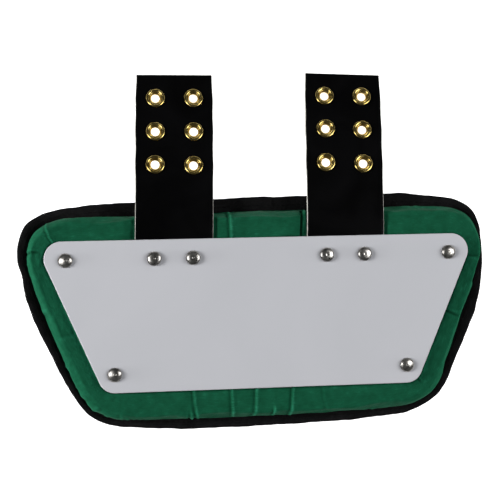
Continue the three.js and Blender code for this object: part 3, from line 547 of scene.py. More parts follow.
# Where the rivets go through, and the dimples that their washers draw into the back.
RIVET_INSET, RIVET_LOW_INSET, RIVET_PITCH = 14.2, 12.1, 25.4
DIMPLE_DEPTH, DIMPLE_FLOOR, DIMPLE_RIM = 3.3, 6.8, 11.5
rivet_side = PLATE_TOP_WIDTH / 2 - RIVET_FROM_TOP * SLANT - RIVET_INSET
rivet_low_side = PLATE_TOP_WIDTH / 2 - (PLATE_HEIGHT - RIVET_FROM_BOTTOM) * SLANT - RIVET_LOW_INSET
rivet_low_row = -PLATE_HEIGHT / 2 + RIVET_FROM_BOTTOM
outer_side, inner_side = (STRAP_SPACING + RIVET_PITCH) / 2, (STRAP_SPACING - RIVET_PITCH) / 2
RIVETS = {
    "rivet_top_left": (-rivet_side, RIVET_ROW), "rivet_top_right": (rivet_side, RIVET_ROW),
    "rivet_bottom_left": (-rivet_low_side, rivet_low_row),
    "rivet_bottom_right": (rivet_low_side, rivet_low_row),
    "rivet_strap_left_outer": (-outer_side, RIVET_ROW), "rivet_strap_left_inner": (-inner_side, RIVET_ROW),
    "rivet_strap_right_outer": (outer_side, RIVET_ROW), "rivet_strap_right_inner": (inner_side, RIVET_ROW),
}
for x, y in RIVETS.values():
    away = np.hypot(back_rows[..., 0] - x, back_rows[..., 1] - y)
    dimple = DIMPLE_DEPTH * (1 - step_up(away, DIMPLE_FLOOR, DIMPLE_RIM))
    back_rows[..., 2] = np.maximum(back_rows[..., 2], dimple)
seam_rows = np.array([flat_ring(ring_step, 0.5), flat_ring(ring_step, SEAM_UNDER),
                      flat_ring(ring_seam, SEAM_UNDER), flat_ring(ring_seam, SEAM_TOP)])
top_rows = np.array([flat_ring(band[-1, :, :2] * inwards, PAD_THICK) for inwards in (0.9, 0.6, 0.3)])
top_rows[0, :, 2] = band[-1, :, 2] * 0.6 + PAD_THICK * 0.4
cover_grid = np.concatenate([back_rows, seam_rows, band, top_rows])


def shader_group(name, inputs, outputs):
    """An empty shader node group with named float or colour sockets."""
    group = bpy.data.node_groups.new(name, "ShaderNodeTree")
    for label, kind, value in inputs:
        socket = group.interface.new_socket(label, in_out="INPUT", socket_type=kind)
        if value is not None:
            socket.default_value = value
    for label, kind in outputs:
        group.interface.new_socket(label, in_out="OUTPUT", socket_type=kind)
    return group, group.nodes.new("NodeGroupInput"), group.nodes.new("NodeGroupOutput")


def link(tree, pairs):
    """Joins sockets in a node tree, given as pairs of output and input."""
    for source, target in pairs:
        tree.links.new(source, target)


# Woven threads: two crossed wave patterns, with mottling and wrinkles from noise and short streaks along
# the weft.
weave_group, weave_in, weave_out = shader_group(
    "woven_threads",
    [("Vector", "NodeSocketVector", None), ("Threads", "NodeSocketFloat", 1000.0),
     ("Mottle", "NodeSocketFloat", 60.0), ("Streaks", "NodeSocketFloat", 0.6)],
    [("Height", "NodeSocketFloat"), ("Mask", "NodeSocketFloat"), ("Wrinkles", "NodeSocketFloat")])
threads = []
for direction in ("X", "Y"):
    wave = weave_group.nodes.new("ShaderNodeTexWave")
    wave.wave_type = "BANDS"
    wave.bands_direction = direction
    wave.wave_profile = "SIN"
    wave.inputs["Distortion"].default_value = 0.6
    wave.inputs["Detail"].default_value = 1.0
    wave.inputs["Detail Scale"].default_value = 0.4
    link(weave_group, [(weave_in.outputs["Vector"], wave.inputs["Vector"]),
                       (weave_in.outputs["Threads"], wave.inputs["Scale"])])
    threads.append(wave)
crossing = weave_group.nodes.new("ShaderNodeMath")
crossing.operation = "MAXIMUM"
mottle = weave_group.nodes.new("ShaderNodeTexNoise")
mottle.inputs["Detail"].default_value = 5.0
mottle.inputs["Roughness"].default_value = 0.6
stretch = weave_group.nodes.new("ShaderNodeVectorMath")
stretch.operation = "MULTIPLY"
stretch.inputs[1].default_value = (240, 1100, 1)
streak = weave_group.nodes.new("ShaderNodeTexNoise")
streak.inputs["Scale"].default_value = 1.0
streak.inputs["Detail"].default_value = 2.0
evened = weave_group.nodes.new("ShaderNodeMath")
evened.operation = "SUBTRACT"
evened.inputs[1].default_value = 0.5
wrinkle = weave_group.nodes.new("ShaderNodeTexNoise")
wrinkle.inputs["Scale"].default_value = 170
wrinkle.inputs["Detail"].default_value = 3.0
wrinkle.inputs["Distortion"].default_value = 0.6
streaked = weave_group.nodes.new("ShaderNodeMath")
streaked.operation = "MULTIPLY_ADD"
link(weave_group, [(threads[0].outputs["Fac"], crossing.inputs[0]),
                   (threads[1].outputs["Fac"], crossing.inputs[1]),
                   (crossing.outputs[0], weave_out.inputs["Height"]),
                   (weave_in.outputs["Vector"], mottle.inputs["Vector"]),
                   (weave_in.outputs["Mottle"], mottle.inputs["Scale"]),
                   (weave_in.outputs["Vector"], stretch.inputs[0]),
                   (stretch.outputs["Vector"], streak.inputs["Vector"]),
                   (streak.outputs["Fac"], evened.inputs[0]), (evened.outputs[0], streaked.inputs[0]),
                   (weave_in.outputs["Streaks"], streaked.inputs[1]),
                   (mottle.outputs["Fac"], streaked.inputs[2]),
                   (streaked.outputs[0], weave_out.inputs["Mask"]),
                   (weave_in.outputs["Vector"], wrinkle.inputs["Vector"]),
                   (wrinkle.outputs["Fac"], weave_out.inputs["Wrinkles"])])


def cloth_material(name, colours, roughness, threads_per_metre, mottling, bump, rumpled, shine):
    """Woven cloth. Four colours run from dark to light by the mottling, the threads and the fold attribute,
    which is below 0 in a groove and above 0 on a ridge, so that it paints shade into the grooves and a
    painted highlight onto the ridges: 0.8 mottling + 0.15 threads + 0.38 fold shading + 0.02."""
    material = bpy.data.materials.new(name)
    material.use_nodes = True
    tree = material.node_tree
    shader = tree.nodes["Principled BSDF"]
    place = tree.nodes.new("ShaderNodeUVMap")
    place.uv_map = "weave"
    weave = tree.nodes.new("ShaderNodeGroup")
    weave.node_tree = weave_group
    weave.inputs["Threads"].default_value = threads_per_metre
    weave.inputs["Mottle"].default_value = mottling
    # The fold attribute paints shade into the creases' grooves and a highlight onto their ridges.
    painted_fold_reader = tree.nodes.new("ShaderNodeAttribute")
    painted_fold_reader.attribute_name = "painted_fold_shading"
    shares = []
    for share in (0.8, 0.15, 0.38):
        blend = tree.nodes.new("ShaderNodeMath")
        blend.operation = "MULTIPLY_ADD"
        blend.inputs[1].default_value = share
        shares.append(blend)
    shares[0].inputs[2].default_value = 0.02
    ramp = tree.nodes.new("ShaderNodeValToRGB")
    stops = ramp.color_ramp.elements
    stops.new(0.32)
    stops.new(0.64)
    for stop, position, colour in zip(stops, (0.02, 0.32, 0.64, 0.98), colours):
        stop.position = position
        stop.color = (*colour, 1)
    rough = tree.nodes.new("ShaderNodeMapRange")
    rough.inputs["To Min"].default_value = roughness - 0.06
    rough.inputs["To Max"].default_value = roughness + 0.08
    relief = tree.nodes.new("ShaderNodeBump")
    relief.inputs["Distance"].default_value = bump
    relief.inputs["Strength"].default_value = 0.5
    rumple = tree.nodes.new("ShaderNodeBump")
    rumple.inputs["Distance"].default_value = rumpled
    rumple.inputs["Strength"].default_value = 0.6
    link(tree, [(place.outputs["UV"], weave.inputs["Vector"]),
                (weave.outputs["Mask"], shares[0].inputs[0]),
                (weave.outputs["Height"], shares[1].inputs[0]),
                (painted_fold_reader.outputs["Fac"], shares[2].inputs[0]),
                (shares[0].outputs[0], shares[1].inputs[2]),
                (shares[1].outputs[0], shares[2].inputs[2]),
                (shares[2].outputs[0], ramp.inputs["Fac"]),
                (ramp.outputs["Color"], shader.inputs["Base Color"]),
                (weave.outputs["Mask"], rough.inputs["Value"]),
                (rough.outputs["Result"], shader.inputs["Roughness"]),
                (weave.outputs["Wrinkles"], rumple.inputs["Height"]),
                (rumple.outputs["Normal"], relief.inputs["Normal"]),
                (weave.outputs["Height"], relief.inputs["Height"]),
                (relief.outputs["Normal"], shader.inputs["Normal"])])
    shader.inputs["Specular IOR Level"].default_value = shine
    return material


GREENS = ((0.0015, 0.018, 0.009), (0.0048, 0.052, 0.025), (0.0068, 0.072, 0.036), (0.018, 0.15, 0.082))
green_nylon = cloth_material("green_nylon", GREENS, roughness=0.5, threads_per_metre=1100, mottling=140,
                             bump=0.00008, rumpled=0.0012, shine=0.0)
green_shader = green_nylon.node_tree.nodes["Principled BSDF"]
green_shader.inputs["Sheen Weight"].default_value = 0.03
green_shader.inputs["Sheen Roughness"].default_value = 0.35
pad_cover = closed_skin("pad_cover", cover_grid, PAD_ROUND, [green_nylon])
# The folds are stored on the band's points for the cover's colour: painted shade in the grooves and a painted
# highlight on the ridges.
painted_fold_values = np.zeros(len(pad_cover.data.vertices), np.float32)
before_band = (len(back_rows) + len(seam_rows)) * COLUMNS
painted_fold_values[before_band:before_band + painted_fold_shading.size] = painted_fold_shading.ravel()
pad_cover.data.attributes.new("painted_fold_shading", "FLOAT", "POINT").data.foreach_set("value", painted_fold_values)
# The back is one flat panel, so its weave runs straight: there the map is the place itself.
corner_point = np.empty(len(pad_cover.data.loops), np.int32)
pad_cover.data.loops.foreach_get("vertex_index", corner_point)
point_place = np.empty(len(pad_cover.data.vertices) * 3, np.float32)
pad_cover.data.vertices.foreach_get("co", point_place)
cover_map = np.empty(len(corner_point) * 2, np.float32)
pad_cover.data.uv_layers["weave"].data.foreach_get("uv", cover_map)
back_corners = corner_point[:len(back_rows) * COLUMNS * 4]
cover_map.reshape(-1, 2)[:len(back_corners)] = point_place.reshape(-1, 3)[back_corners, :2]
pad_cover.data.uv_layers["weave"].data.foreach_set("uv", cover_map)
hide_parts("pad")
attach(pad_cover, "root")

# Binding. A black woven tape folded over the cover's seam and sewn through, lapped over itself once.
# It waves a little where the sewer eased it round the corners.
tape_count = 1100
tape_share = np.arange(tape_count) / tape_count
tape_base, tape_way, _ = rounded_trapezoid(tape_share, *pad_shape)
tape_edge = TAPE_SHOW * round_value(tape_share, EDGE_TAPE)
tape_plump = EDGE_WANDER * round_value(tape_share, EDGE_PLUMP)
tape_lip = np.maximum(tape_edge - tape_plump + CLEAR, TAPE_LEAST_WIDTH)
dice = np.random.default_rng(11)


def wobble(share, counts, strength):
    """A sum of sines round the edge with seeded phases, each a little weaker than the last."""
    total = np.zeros_like(share)
    for place, count in enumerate(counts):
        total += np.sin(share * 6.2832 * count + dice.uniform(0, 6.28)) * strength / (1 + 0.5 * place)
    return total


# The lap of the tape's two ends, in mm round the pad: a step up, then a slow fall.
LAP_AT = 774.0
lap = (tape_share * PAD_ROUND - LAP_AT + PAD_ROUND) % PAD_ROUND
lap_height = np.where(lap < 60, step_up(lap, 0, 0.6) * (1 - step_up(lap, 10, 34)), 0.0)
edge_wave = wobble(tape_share, (23, 41, 67, 103), 0.11)
lip_wave = wobble(tape_share, (29, 53, 88, 131), 0.09)
height_wave = wobble(tape_share, (31, 57, 90), 0.22)
outer = tape_edge + edge_wave + 0.35 * lap_height
lip_tuck = 0.55 * np.exp(-(apart_round(tape_share, TUCKS[:, None]) / 1.5) ** 2).max(0)
lip = outer - tape_lip - lip_wave - lip_tuck
tape_rise = height_wave * 0.6 + 0.5 * lap_height
# The folded tape's section: the line that a row keeps to, how far out from it, how high, and its share of
# the rise and fall.
TAPE_SECTION = [
    (outer, -TAPE_UNDER_WIDTH, 0.0, 0), (outer, -4.5, 0.0, 0), (outer, -1.2, 0.0, 0), (outer, -0.5, 0.15, 0),
    (outer, -0.1, 0.7, 0), (outer, 0.0, 1.5, 0.3), (outer, 0.0, 2.4, 0.5), (outer, -0.15, 3.2, 0.8),
    (outer, -0.6, 3.75, 1), (outer, -1.3, 4.0, 1), (outer, -2.6, 4.02, 1), (lip, 0.12, 4.0, 1),
    (lip, 0.0, 3.75, 1), (lip, 0.1, 3.15, 0.8), (outer, -2.5, 3.0, 0.6), (outer, -1.3, 2.9, 0.3),
    (outer, -1.1, 1.2, 0), (outer, -2.5, 1.05, 0), (outer, -TAPE_UNDER_WIDTH, 1.0, 0)]
tape_rows = []
for line, out, up, wave in TAPE_SECTION:
    reach = (line + out)[:, None]
    tape_rows.append(np.column_stack([tape_base + tape_way * reach, TAPE_FLOOR + up + wave * tape_rise]))
tape_grid = np.array(tape_rows + [tape_rows[0]])
TAPE_BLACKS = ((0.0022, 0.0022, 0.0022), (0.0043, 0.0043, 0.0045), (0.0084, 0.0084, 0.0087),
               (0.016, 0.016, 0.0166))
black_tape = cloth_material("black_tape", TAPE_BLACKS, roughness=0.62, threads_per_metre=900, mottling=80,
                            bump=0.0002, rumpled=0.0009, shine=0.0)
binding_tape = closed_skin("binding_tape", tape_grid, PAD_ROUND, [black_tape], False, False)
shell = bmesh.new()
shell.from_mesh(binding_tape.data)
bmesh.ops.remove_doubles(shell, verts=shell.verts, dist=1e-6)
shell.to_mesh(binding_tape.data)
shell.free()
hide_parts("binding")
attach(binding_tape, "root")

# Binding stitches. One row of black lockstitch along the tape's inner half, 3.3 mm to a stitch.
# It goes through the tape and the cover's seam, and each stitch sinks a little into the tape.
STITCH_PITCH, STITCH_LENGTH, STITCH_WIDTH, STITCH_SUNK = 3.3, 2.6, 0.55, 4.05
stitch_count = int(PAD_ROUND / STITCH_PITCH)
stitch_share = (np.arange(stitch_count) + 0.5) / stitch_count
stitch_base, stitch_way, _ = rounded_trapezoid(stitch_share, *pad_shape)
stitch_in = np.interp(stitch_share, tape_share, outer - tape_lip * 0.62, period=1)
stitch_up = TAPE_FLOOR + STITCH_SUNK + np.interp(stitch_share, tape_share, tape_rise, period=1)
stitch_middle = np.column_stack([stitch_base + stitch_way * stitch_in[:, None], stitch_up])
stitch_along = np.column_stack([-stitch_way[:, 1], stitch_way[:, 0], np.zeros(stitch_count)])
stitch_across = np.column_stack([stitch_way, np.zeros(stitch_count)])


def stitches(name, middle, along, across, length, width, material):
    """A row of small closed beads, one to a stitch: along * cos a + (across * cos b + up * sin b) * sin a.
    Turn and lean are the steps of a and b."""
    turn, lean = 6, 8
    a = np.linspace(0, np.pi, turn + 1)[1:-1]
    b = np.arange(lean) / lean * 2 * np.pi
    ring_along = np.repeat(np.cos(a), lean) * length / 2
    ring_across = (np.sin(a)[:, None] * np.cos(b)).ravel() * width / 2
    ring_up = (np.sin(a)[:, None] * np.sin(b)).ravel() * width / 2
    ring_along = np.concatenate([ring_along, [length / 2, -length / 2]])
    ring_across = np.concatenate([ring_across, [0, 0]])
    ring_up = np.concatenate([ring_up, [0, 0]])
    points = (middle[:, None] + along[:, None] * ring_along[None, :, None]
              + across[:, None] * ring_across[None, :, None] + np.array([0, 0, 1.0]) * ring_up[None, :, None])
    side = np.arange(lean)
    following = (side + 1) % lean
    low = np.arange(turn - 2)[:, None] * lean
    high = low + lean
    quads = np.stack([low + side, low + following, high + following, high + side], -1).reshape(-1, 4)
    last = (turn - 2) * lean
    first_pole = np.full(lean, (turn - 1) * lean)
    fans = np.vstack([np.column_stack([following, side, first_pole]),
                      np.column_stack([last + side, last + following, first_pole + 1])])
    bead = np.arange(len(middle))[:, None, None] * len(ring_along)
    faces = (bead + quads).reshape(-1, 4).tolist() + (bead + fans).reshape(-1, 3).tolist()
    mesh = bpy.data.meshes.new(name)
    mesh.from_pydata((points.reshape(-1, 3) / 1000).tolist(), [], faces)
    shell = bmesh.new()
    shell.from_mesh(mesh)
    bmesh.ops.recalc_face_normals(shell, faces=shell.faces)
    shell.to_mesh(mesh)
    shell.free()
    return finished_piece(name, mesh, [material])


# Handling scuffs: a fine grain for relief and larger smudges for colour and gloss.
scuff_group, scuff_in, scuff_out = shader_group(
    "handling_scuffs",
    [("Vector", "NodeSocketVector", None), ("Grain", "NodeSocketFloat", 900.0),
     ("Smudge", "NodeSocketFloat", 40.0)],
    [("Height", "NodeSocketFloat"), ("Mask", "NodeSocketFloat")])
grain = scuff_group.nodes.new("ShaderNodeTexNoise")
grain.inputs["Detail"].default_value = 3.0
smudge = scuff_group.nodes.new("ShaderNodeTexNoise")
smudge.inputs["Detail"].default_value = 4.0
smudge.inputs["Distortion"].default_value = 0.8
link(scuff_group, [(scuff_in.outputs["Vector"], grain.inputs["Vector"]),
                   (scuff_in.outputs["Grain"], grain.inputs["Scale"]),
                   (scuff_in.outputs["Vector"], smudge.inputs["Vector"]),
                   (scuff_in.outputs["Smudge"], smudge.inputs["Scale"]),
                   (grain.outputs["Fac"], scuff_out.inputs["Height"]),
                   (smudge.outputs["Fac"], scuff_out.inputs["Mask"])])


def handled_material(name, dark, light, metallic, low_rough, high_rough, grain_scale, smudge_scale, bump):
    """A smooth surface with handling marks: colour and roughness run with the smudges, and the fine grain
    is bump."""
    material = bpy.data.materials.new(name)
    material.use_nodes = True
    tree = material.node_tree
    shader = tree.nodes["Principled BSDF"]
    place = tree.nodes.new("ShaderNodeTexCoord")
    scuffs = tree.nodes.new("ShaderNodeGroup")
    scuffs.node_tree = scuff_group
    scuffs.inputs["Grain"].default_value = grain_scale
    scuffs.inputs["Smudge"].default_value = smudge_scale
    ramp = tree.nodes.new("ShaderNodeValToRGB")
    ramp.color_ramp.elements[0].position = 0.35
    ramp.color_ramp.elements[0].color = (*dark, 1)
    ramp.color_ramp.elements[1].position = 0.65
    ramp.color_ramp.elements[1].color = (*light, 1)
    rough = tree.nodes.new("ShaderNodeMapRange")
    rough.inputs["From Min"].default_value = 0.3
    rough.inputs["From Max"].default_value = 0.7
    rough.inputs["To Min"].default_value = low_rough
    rough.inputs["To Max"].default_value = high_rough
    relief = tree.nodes.new("ShaderNodeBump")
    relief.inputs["Distance"].default_value = bump
    relief.inputs["Strength"].default_value = 0.4
    link(tree, [(place.outputs["Object"], scuffs.inputs["Vector"]),
                (scuffs.outputs["Mask"], ramp.inputs["Fac"]),
                (ramp.outputs["Color"], shader.inputs["Base Color"]),
                (scuffs.outputs["Mask"], rough.inputs["Value"]),
                (rough.outputs["Result"], shader.inputs["Roughness"]),
                (scuffs.outputs["Height"], relief.inputs["Height"]),
                (relief.outputs["Normal"], shader.inputs["Normal"])])
    shader.inputs["Metallic"].default_value = metallic
    return material


black_thread = handled_material("black_thread", (0.0036, 0.0036, 0.0037), (0.007, 0.007, 0.0072),
                                0, 0.6, 0.8, 3000, 200, 0.00002)
black_thread.node_tree.nodes["Principled BSDF"].inputs["Specular IOR Level"].default_value = 0.0
binding_stitches = stitches("binding_stitches", stitch_middle, stitch_along, stitch_across,
                            STITCH_LENGTH, STITCH_WIDTH, black_thread)
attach(binding_stitches, "root")

# Straps. Two inch webbing with a smooth black coating on both faces, cut clean, so the pale core shows on
# the edge. Each comes out from under the plate, bends over the pad's edge and slopes down to the floor.
# Holes are punched for the eyelets.
EYELET_FROM_TIP, EYELET_ROW_PITCH, EYELET_COLUMN_PITCH = 15.9, 23.0, 25.3
EYELET_ROWS = [STRAP_REACH - EYELET_FROM_TIP - row * EYELET_ROW_PITCH for row in range(3)]
STRAP_CUTS = {"left": 1.6, "right": 0.0}
STRAP_STRETCH = {"left": 1.006, "right": 1.018}
STRAP_ASIDE = {"left": 0.45, "right": 0.6}
# How far each eyelet was set off its place, across and along, in mm.
EYELET_SET = {
    ("left", 0, "outer"): (0.1, -0.8), ("left", 1, "outer"): (0.1, -0.6), ("left", 1, "inner"): (0.2, 0.0),
    ("right", 1, "inner"): (0.3, 0.2), ("right", 0, "outer"): (0.2, 0.2), ("right", 2, "outer"): (0.1, -0.3)}


def on_strap(name, across, along, lift):
    """Points on a strap in millimetres: from the rivet row, along the leaning run, across it, and lifted
    off the strap's middle at right angles to its slope."""
    slope = np.interp(along, along_table, slope_table)
    run = np.interp(along, along_table, run_table) + lift * np.sin(slope)
    height = np.interp(along, along_table, height_table) + lift * np.cos(slope)
    tilt = math.radians(STRAP_LEANS[name])
    x = STRAP_SIDES[name] * STRAP_SPACING / 2 + run * math.sin(tilt) + across * math.cos(tilt)
    y = RIVET_ROW + run * math.cos(tilt) - across * math.sin(tilt)
    return np.column_stack([x, y, height])


def punched_cell(low_x, high_x, low_y, high_y, hole_x, hole_y, hole_radius, side, rings):
    """A rectangle of strap with one round hole: rings of points from the hole's circle out to the
    rectangle's border, circle + (border - circle) * t."""
    t = np.arange(side) / side
    border = np.concatenate([
        np.column_stack([low_x + (high_x - low_x) * t, np.full(side, low_y)]),
        np.column_stack([np.full(side, high_x), low_y + (high_y - low_y) * t]),
        np.column_stack([high_x - (high_x - low_x) * t, np.full(side, high_y)]),
        np.column_stack([np.full(side, low_x), high_y - (high_y - low_y) * t])])
    centre = np.array([hole_x, hole_y])
    angle = np.arctan2(border[:, 1] - hole_y, border[:, 0] - hole_x)
    circle = centre + hole_radius * np.column_stack([np.cos(angle), np.sin(angle)])
    steps = np.linspace(0, 1, rings)[:, None, None]
    points = circle[None] + (border - circle)[None] * steps
    count = 4 * side
    ring = np.arange(rings - 1)[:, None]
    place = np.arange(count)[None, :]
    following = (place + 1) % count
    faces = np.stack([ring * count + place, ring * count + following, (ring + 1) * count + following,
                      (ring + 1) * count + place], -1).reshape(-1, 4)[:, ::-1]
    return points.reshape(-1, 2), faces


def strap_piece(name, materials):
    """A strap as a flat sheet of cells, laid on its path, then given its thickness and a small edge bevel."""
    side, rings, hole_radius = 10, 6, 4.3
    points, faces, offset = [], [], 0
    half = STRAP_WIDTH / 2
    limits = [STRAP_REACH] + [row - EYELET_ROW_PITCH / 2 for row in EYELET_ROWS]
    for row, along in enumerate(EYELET_ROWS):
        for low_x, high_x, column_side in ((-half, 0, -1), (0, half, 1)):
            label = "outer" if column_side == STRAP_SIDES[name] else "inner"
            aside, further = EYELET_SET.get((name, row, label), (0, 0))
            hole_x = column_side * EYELET_COLUMN_PITCH / 2 + aside
            cell, cell_faces = punched_cell(low_x, high_x, limits[row + 1], limits[row],
                                            hole_x, along + further, hole_radius, side, rings)
            points.append(cell)
            faces.append(cell_faces + offset)
            offset += len(cell)
    across = np.linspace(-half, half, 2 * side + 1)
    along = np.linspace(-STRAP_TAIL, limits[-1], 44)
    grid_x, grid_y = np.meshgrid(across, along)
    columns = len(across)
    row = np.arange(len(along) - 1)[:, None]
    column = np.arange(columns - 1)[None, :]
    corner = row * columns + column + offset
    points.append(np.column_stack([grid_x.ravel(), grid_y.ravel()]))
    faces.append(np.stack([corner, corner + 1, corner + columns + 1, corner + columns], -1).reshape(-1, 4))
    flat = np.vstack(points)
    x, y = flat[:, 0], flat[:, 1]
    tip = np.clip((y - STRAP_REACH + 10) / 10, 0, 1)
    skew = np.tan(math.radians(STRAP_CUTS[name])) * x * tip
    bulge = sum(np.exp(-((y - place) / 7) ** 2) for place in EYELET_ROWS)
    stretch_at = STRAP_STRETCH[name] + 0.014 * bulge - 0.016 * step_up(y, 96, STRAP_REACH)
    wide = x * stretch_at + STRAP_ASIDE[name]
    pucker = np.zeros(len(flat))
    for place in EYELET_ROWS:
        for column_x in (-EYELET_COLUMN_PITCH / 2, EYELET_COLUMN_PITCH / 2):
            away = np.hypot(x - column_x, y - place)
            pucker -= 0.22 * np.exp(-(away / 7.5) ** 2)
    phase = 1.3 * STRAP_SIDES[name]
    crown = 0.12 * np.sin(y / 17 + phase) * (x / half) ** 2 * step_up(y, STRAP_LEVEL, bend_end)
    place = on_strap(name, wide, y + skew, pucker + crown + 0.1)
    mesh = bpy.data.meshes.new("strap_" + name + "_webbing")
    mesh.from_pydata((place / 1000).tolist(), [], np.vstack(faces).tolist())
    shell = bmesh.new()
    shell.from_mesh(mesh)
    bmesh.ops.remove_doubles(shell, verts=shell.verts, dist=2e-5)
    bmesh.ops.recalc_face_normals(shell, faces=shell.faces)
    if sum(face.normal.z for face in shell.faces) < 0:
        bmesh.ops.reverse_faces(shell, faces=shell.faces)
    shell.to_mesh(mesh)
    shell.free()
    piece = finished_piece("strap_" + name + "_webbing", mesh, materials)
    thick = piece.modifiers.new("thickness", "SOLIDIFY")
    thick.thickness = STRAP_THICK / 1000
    thick.offset = 0
    thick.use_even_offset = True
    thick.material_offset_rim = 1
    edge = piece.modifiers.new("cut_edge", "BEVEL")
    edge.width = 0.00024
    edge.segments = 2
    edge.limit_method = "ANGLE"
    edge.angle_limit = math.radians(50)
    edge.material = 1
    edge.harden_normals = False
    return piece


black_coating = handled_material("black_coating", (0.0012, 0.0012, 0.0013), (0.0021, 0.0021, 0.0023),
                                 0, 0.3, 0.5, 1400, 28, 0.00003)
black_coating.node_tree.nodes["Principled BSDF"].inputs["Specular IOR Level"].default_value = 0.01
pale_core = handled_material("pale_core", (0.20, 0.195, 0.18), (0.42, 0.41, 0.38),
                             0, 0.7, 0.9, 2500, 300, 0.00005)
for strap_name in STRAP_SIDES:
    webbing = strap_piece(strap_name, [black_coating, pale_core])
    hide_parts("strap_" + strap_name)
    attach(webbing, "root")

# Eyelets. Brass, three rows of two on each strap: a domed front flange with a turned groove,
# a barrel through the punched hole, and a flat ring clenched behind.
def turned_piece(name, profile, sides, frame_of, materials):
    """A profile of radius and height pairs turned about an axis: radius * (side cos a + up sin a)
    + axis * height. Profiles close on themselves, or start and end on the axis."""
    closed = profile[0, 0] > 1e-6
    origin, side, up, axis = frame_of
    angle = np.arange(sides) / sides * 2 * np.pi
    ring = np.outer(np.cos(angle), side) + np.outer(np.sin(angle), up)
    rows = profile if closed else profile[1:-1]
    points = origin + ring[None] * rows[:, 0][:, None, None] + axis * rows[:, 1][:, None, None]
    points = points.reshape(-1, 3)
    count = len(rows)
    row = np.arange(count if closed else count - 1)[:, None]
    place = np.arange(sides)
    following = (place + 1) % sides
    above = (row + 1) % count
    faces = np.stack([row * sides + place, row * sides + following, above * sides + following,
                      above * sides + place], -1).reshape(-1, 4).tolist()
    if not closed:
        bottom, top = len(points), len(points) + 1
        points = np.vstack([points, origin + axis * profile[0, 1], origin + axis * profile[-1, 1]])
        last = (count - 1) * sides
        faces += np.column_stack([following, place, np.full(sides, bottom)]).tolist()
        faces += np.column_stack([last + place, last + following, np.full(sides, top)]).tolist()
    mesh = bpy.data.meshes.new(name)
    mesh.from_pydata((points / 1000).tolist(), [], faces)
    faced_outwards(mesh)
    return finished_piece(name, mesh, materials)


def arc(middle_radius, middle_height, wide, tall, start, end, count):
    """Profile points on part of an ellipse, from one angle to another in degrees:
    middle + (wide * cos a, tall * sin a)."""
    a = np.radians(np.linspace(start, end, count))
    return np.column_stack([middle_radius + wide * np.cos(a), middle_height + tall * np.sin(a)])


EYELET_HOLE, EYELET_RIM, EYELET_BARREL = 2.8, 6.4, 4.2
FRONT = STRAP_THICK / 2 - 0.08
eyelet_profile = np.vstack([
    [(EYELET_BARREL, -FRONT), (EYELET_BARREL, FRONT), (EYELET_RIM - 0.25, FRONT)],
    arc(5.32, FRONT + 0.15, 1.08, 1.2, -7, 152, 22),
    [(4.3, FRONT + 0.62), (4.2, FRONT + 0.56)],
    arc(3.9, FRONT + 0.5, 0.28, 0.26, 40, 150, 8),
    [(3.56, FRONT + 0.5), (3.42, FRONT + 0.3), (3.2, FRONT + 0.05), (3.0, FRONT - 0.18),
     (2.86, FRONT - 0.38), (EYELET_HOLE, FRONT - 0.55), (2.88, FRONT - 0.85), (3.15, -FRONT - 0.4)],
    arc(3.85, -FRONT - 0.5, 0.6, 0.35, 180, 270, 5),
    [(5.5, -FRONT - 0.8)],
    arc(5.7, -FRONT - 0.42, 0.4, 0.36, -90, 80, 5)])
bright_brass = handled_material("bright_brass", (0.46, 0.34, 0.10), (0.60, 0.46, 0.16),
                                1, 0.18, 0.26, 1800, 90, 0.000001)
dice = np.random.default_rng(5)
for strap_name, strap_side in STRAP_SIDES.items():
    tilt = math.radians(STRAP_LEANS[strap_name])
    for row, along in enumerate(EYELET_ROWS):
        for label, column_side in (("outer", strap_side), ("inner", -strap_side)):
            aside, further = EYELET_SET.get((strap_name, row, label), (0, 0))
            across = np.array([column_side * EYELET_COLUMN_PITCH / 2 + aside + STRAP_ASIDE[strap_name]])
            origin = on_strap(strap_name, across, np.array([along + further]), np.array([0.0]))[0]
            slope = float(np.interp(along, along_table, slope_table))
            side_way = np.array([math.cos(tilt), -math.sin(tilt), 0])
            run_way = np.array([math.sin(tilt) * math.cos(slope), math.cos(tilt) * math.cos(slope),
                                -math.sin(slope)])
            lean = dice.uniform(-0.015, 0.015, 2) + (-0.03 if strap_name == "right" else 0.0, 0.02)
            axis_way = np.cross(side_way, run_way) + side_way * lean[0] + run_way * lean[1]
            axis_way /= np.linalg.norm(axis_way)
            side_way = side_way - axis_way * side_way.dot(axis_way)
            side_way /= np.linalg.norm(side_way)
            run_way = np.cross(axis_way, side_way)
            name = f"eyelet_{strap_name}_{row + 1}_{label}"
            eyelet = turned_piece(name + "_brass", eyelet_profile, 64,
                                  (origin, side_way, run_way, axis_way), [bright_brass])
            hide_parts(name)
            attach(eyelet, "root")

# Plate. Flat white polyethylene sheet with a low sheen, cut to a rounded trapezoid with its edge broken
# smooth. It is riveted down on the pad and over the straps.
plate_count = 480
plate_ring, plate_way, plate_round = rounded_trapezoid(np.arange(plate_count) / plate_count, *plate_shape)
PLATE_THICK, UNDER_ROUND, TOP_ROUND = 3.0, 0.35, 0.6
PLATE_UNDER = PAD_THICK + CLEAR
PLATE_TOP = PLATE_UNDER + PLATE_THICK
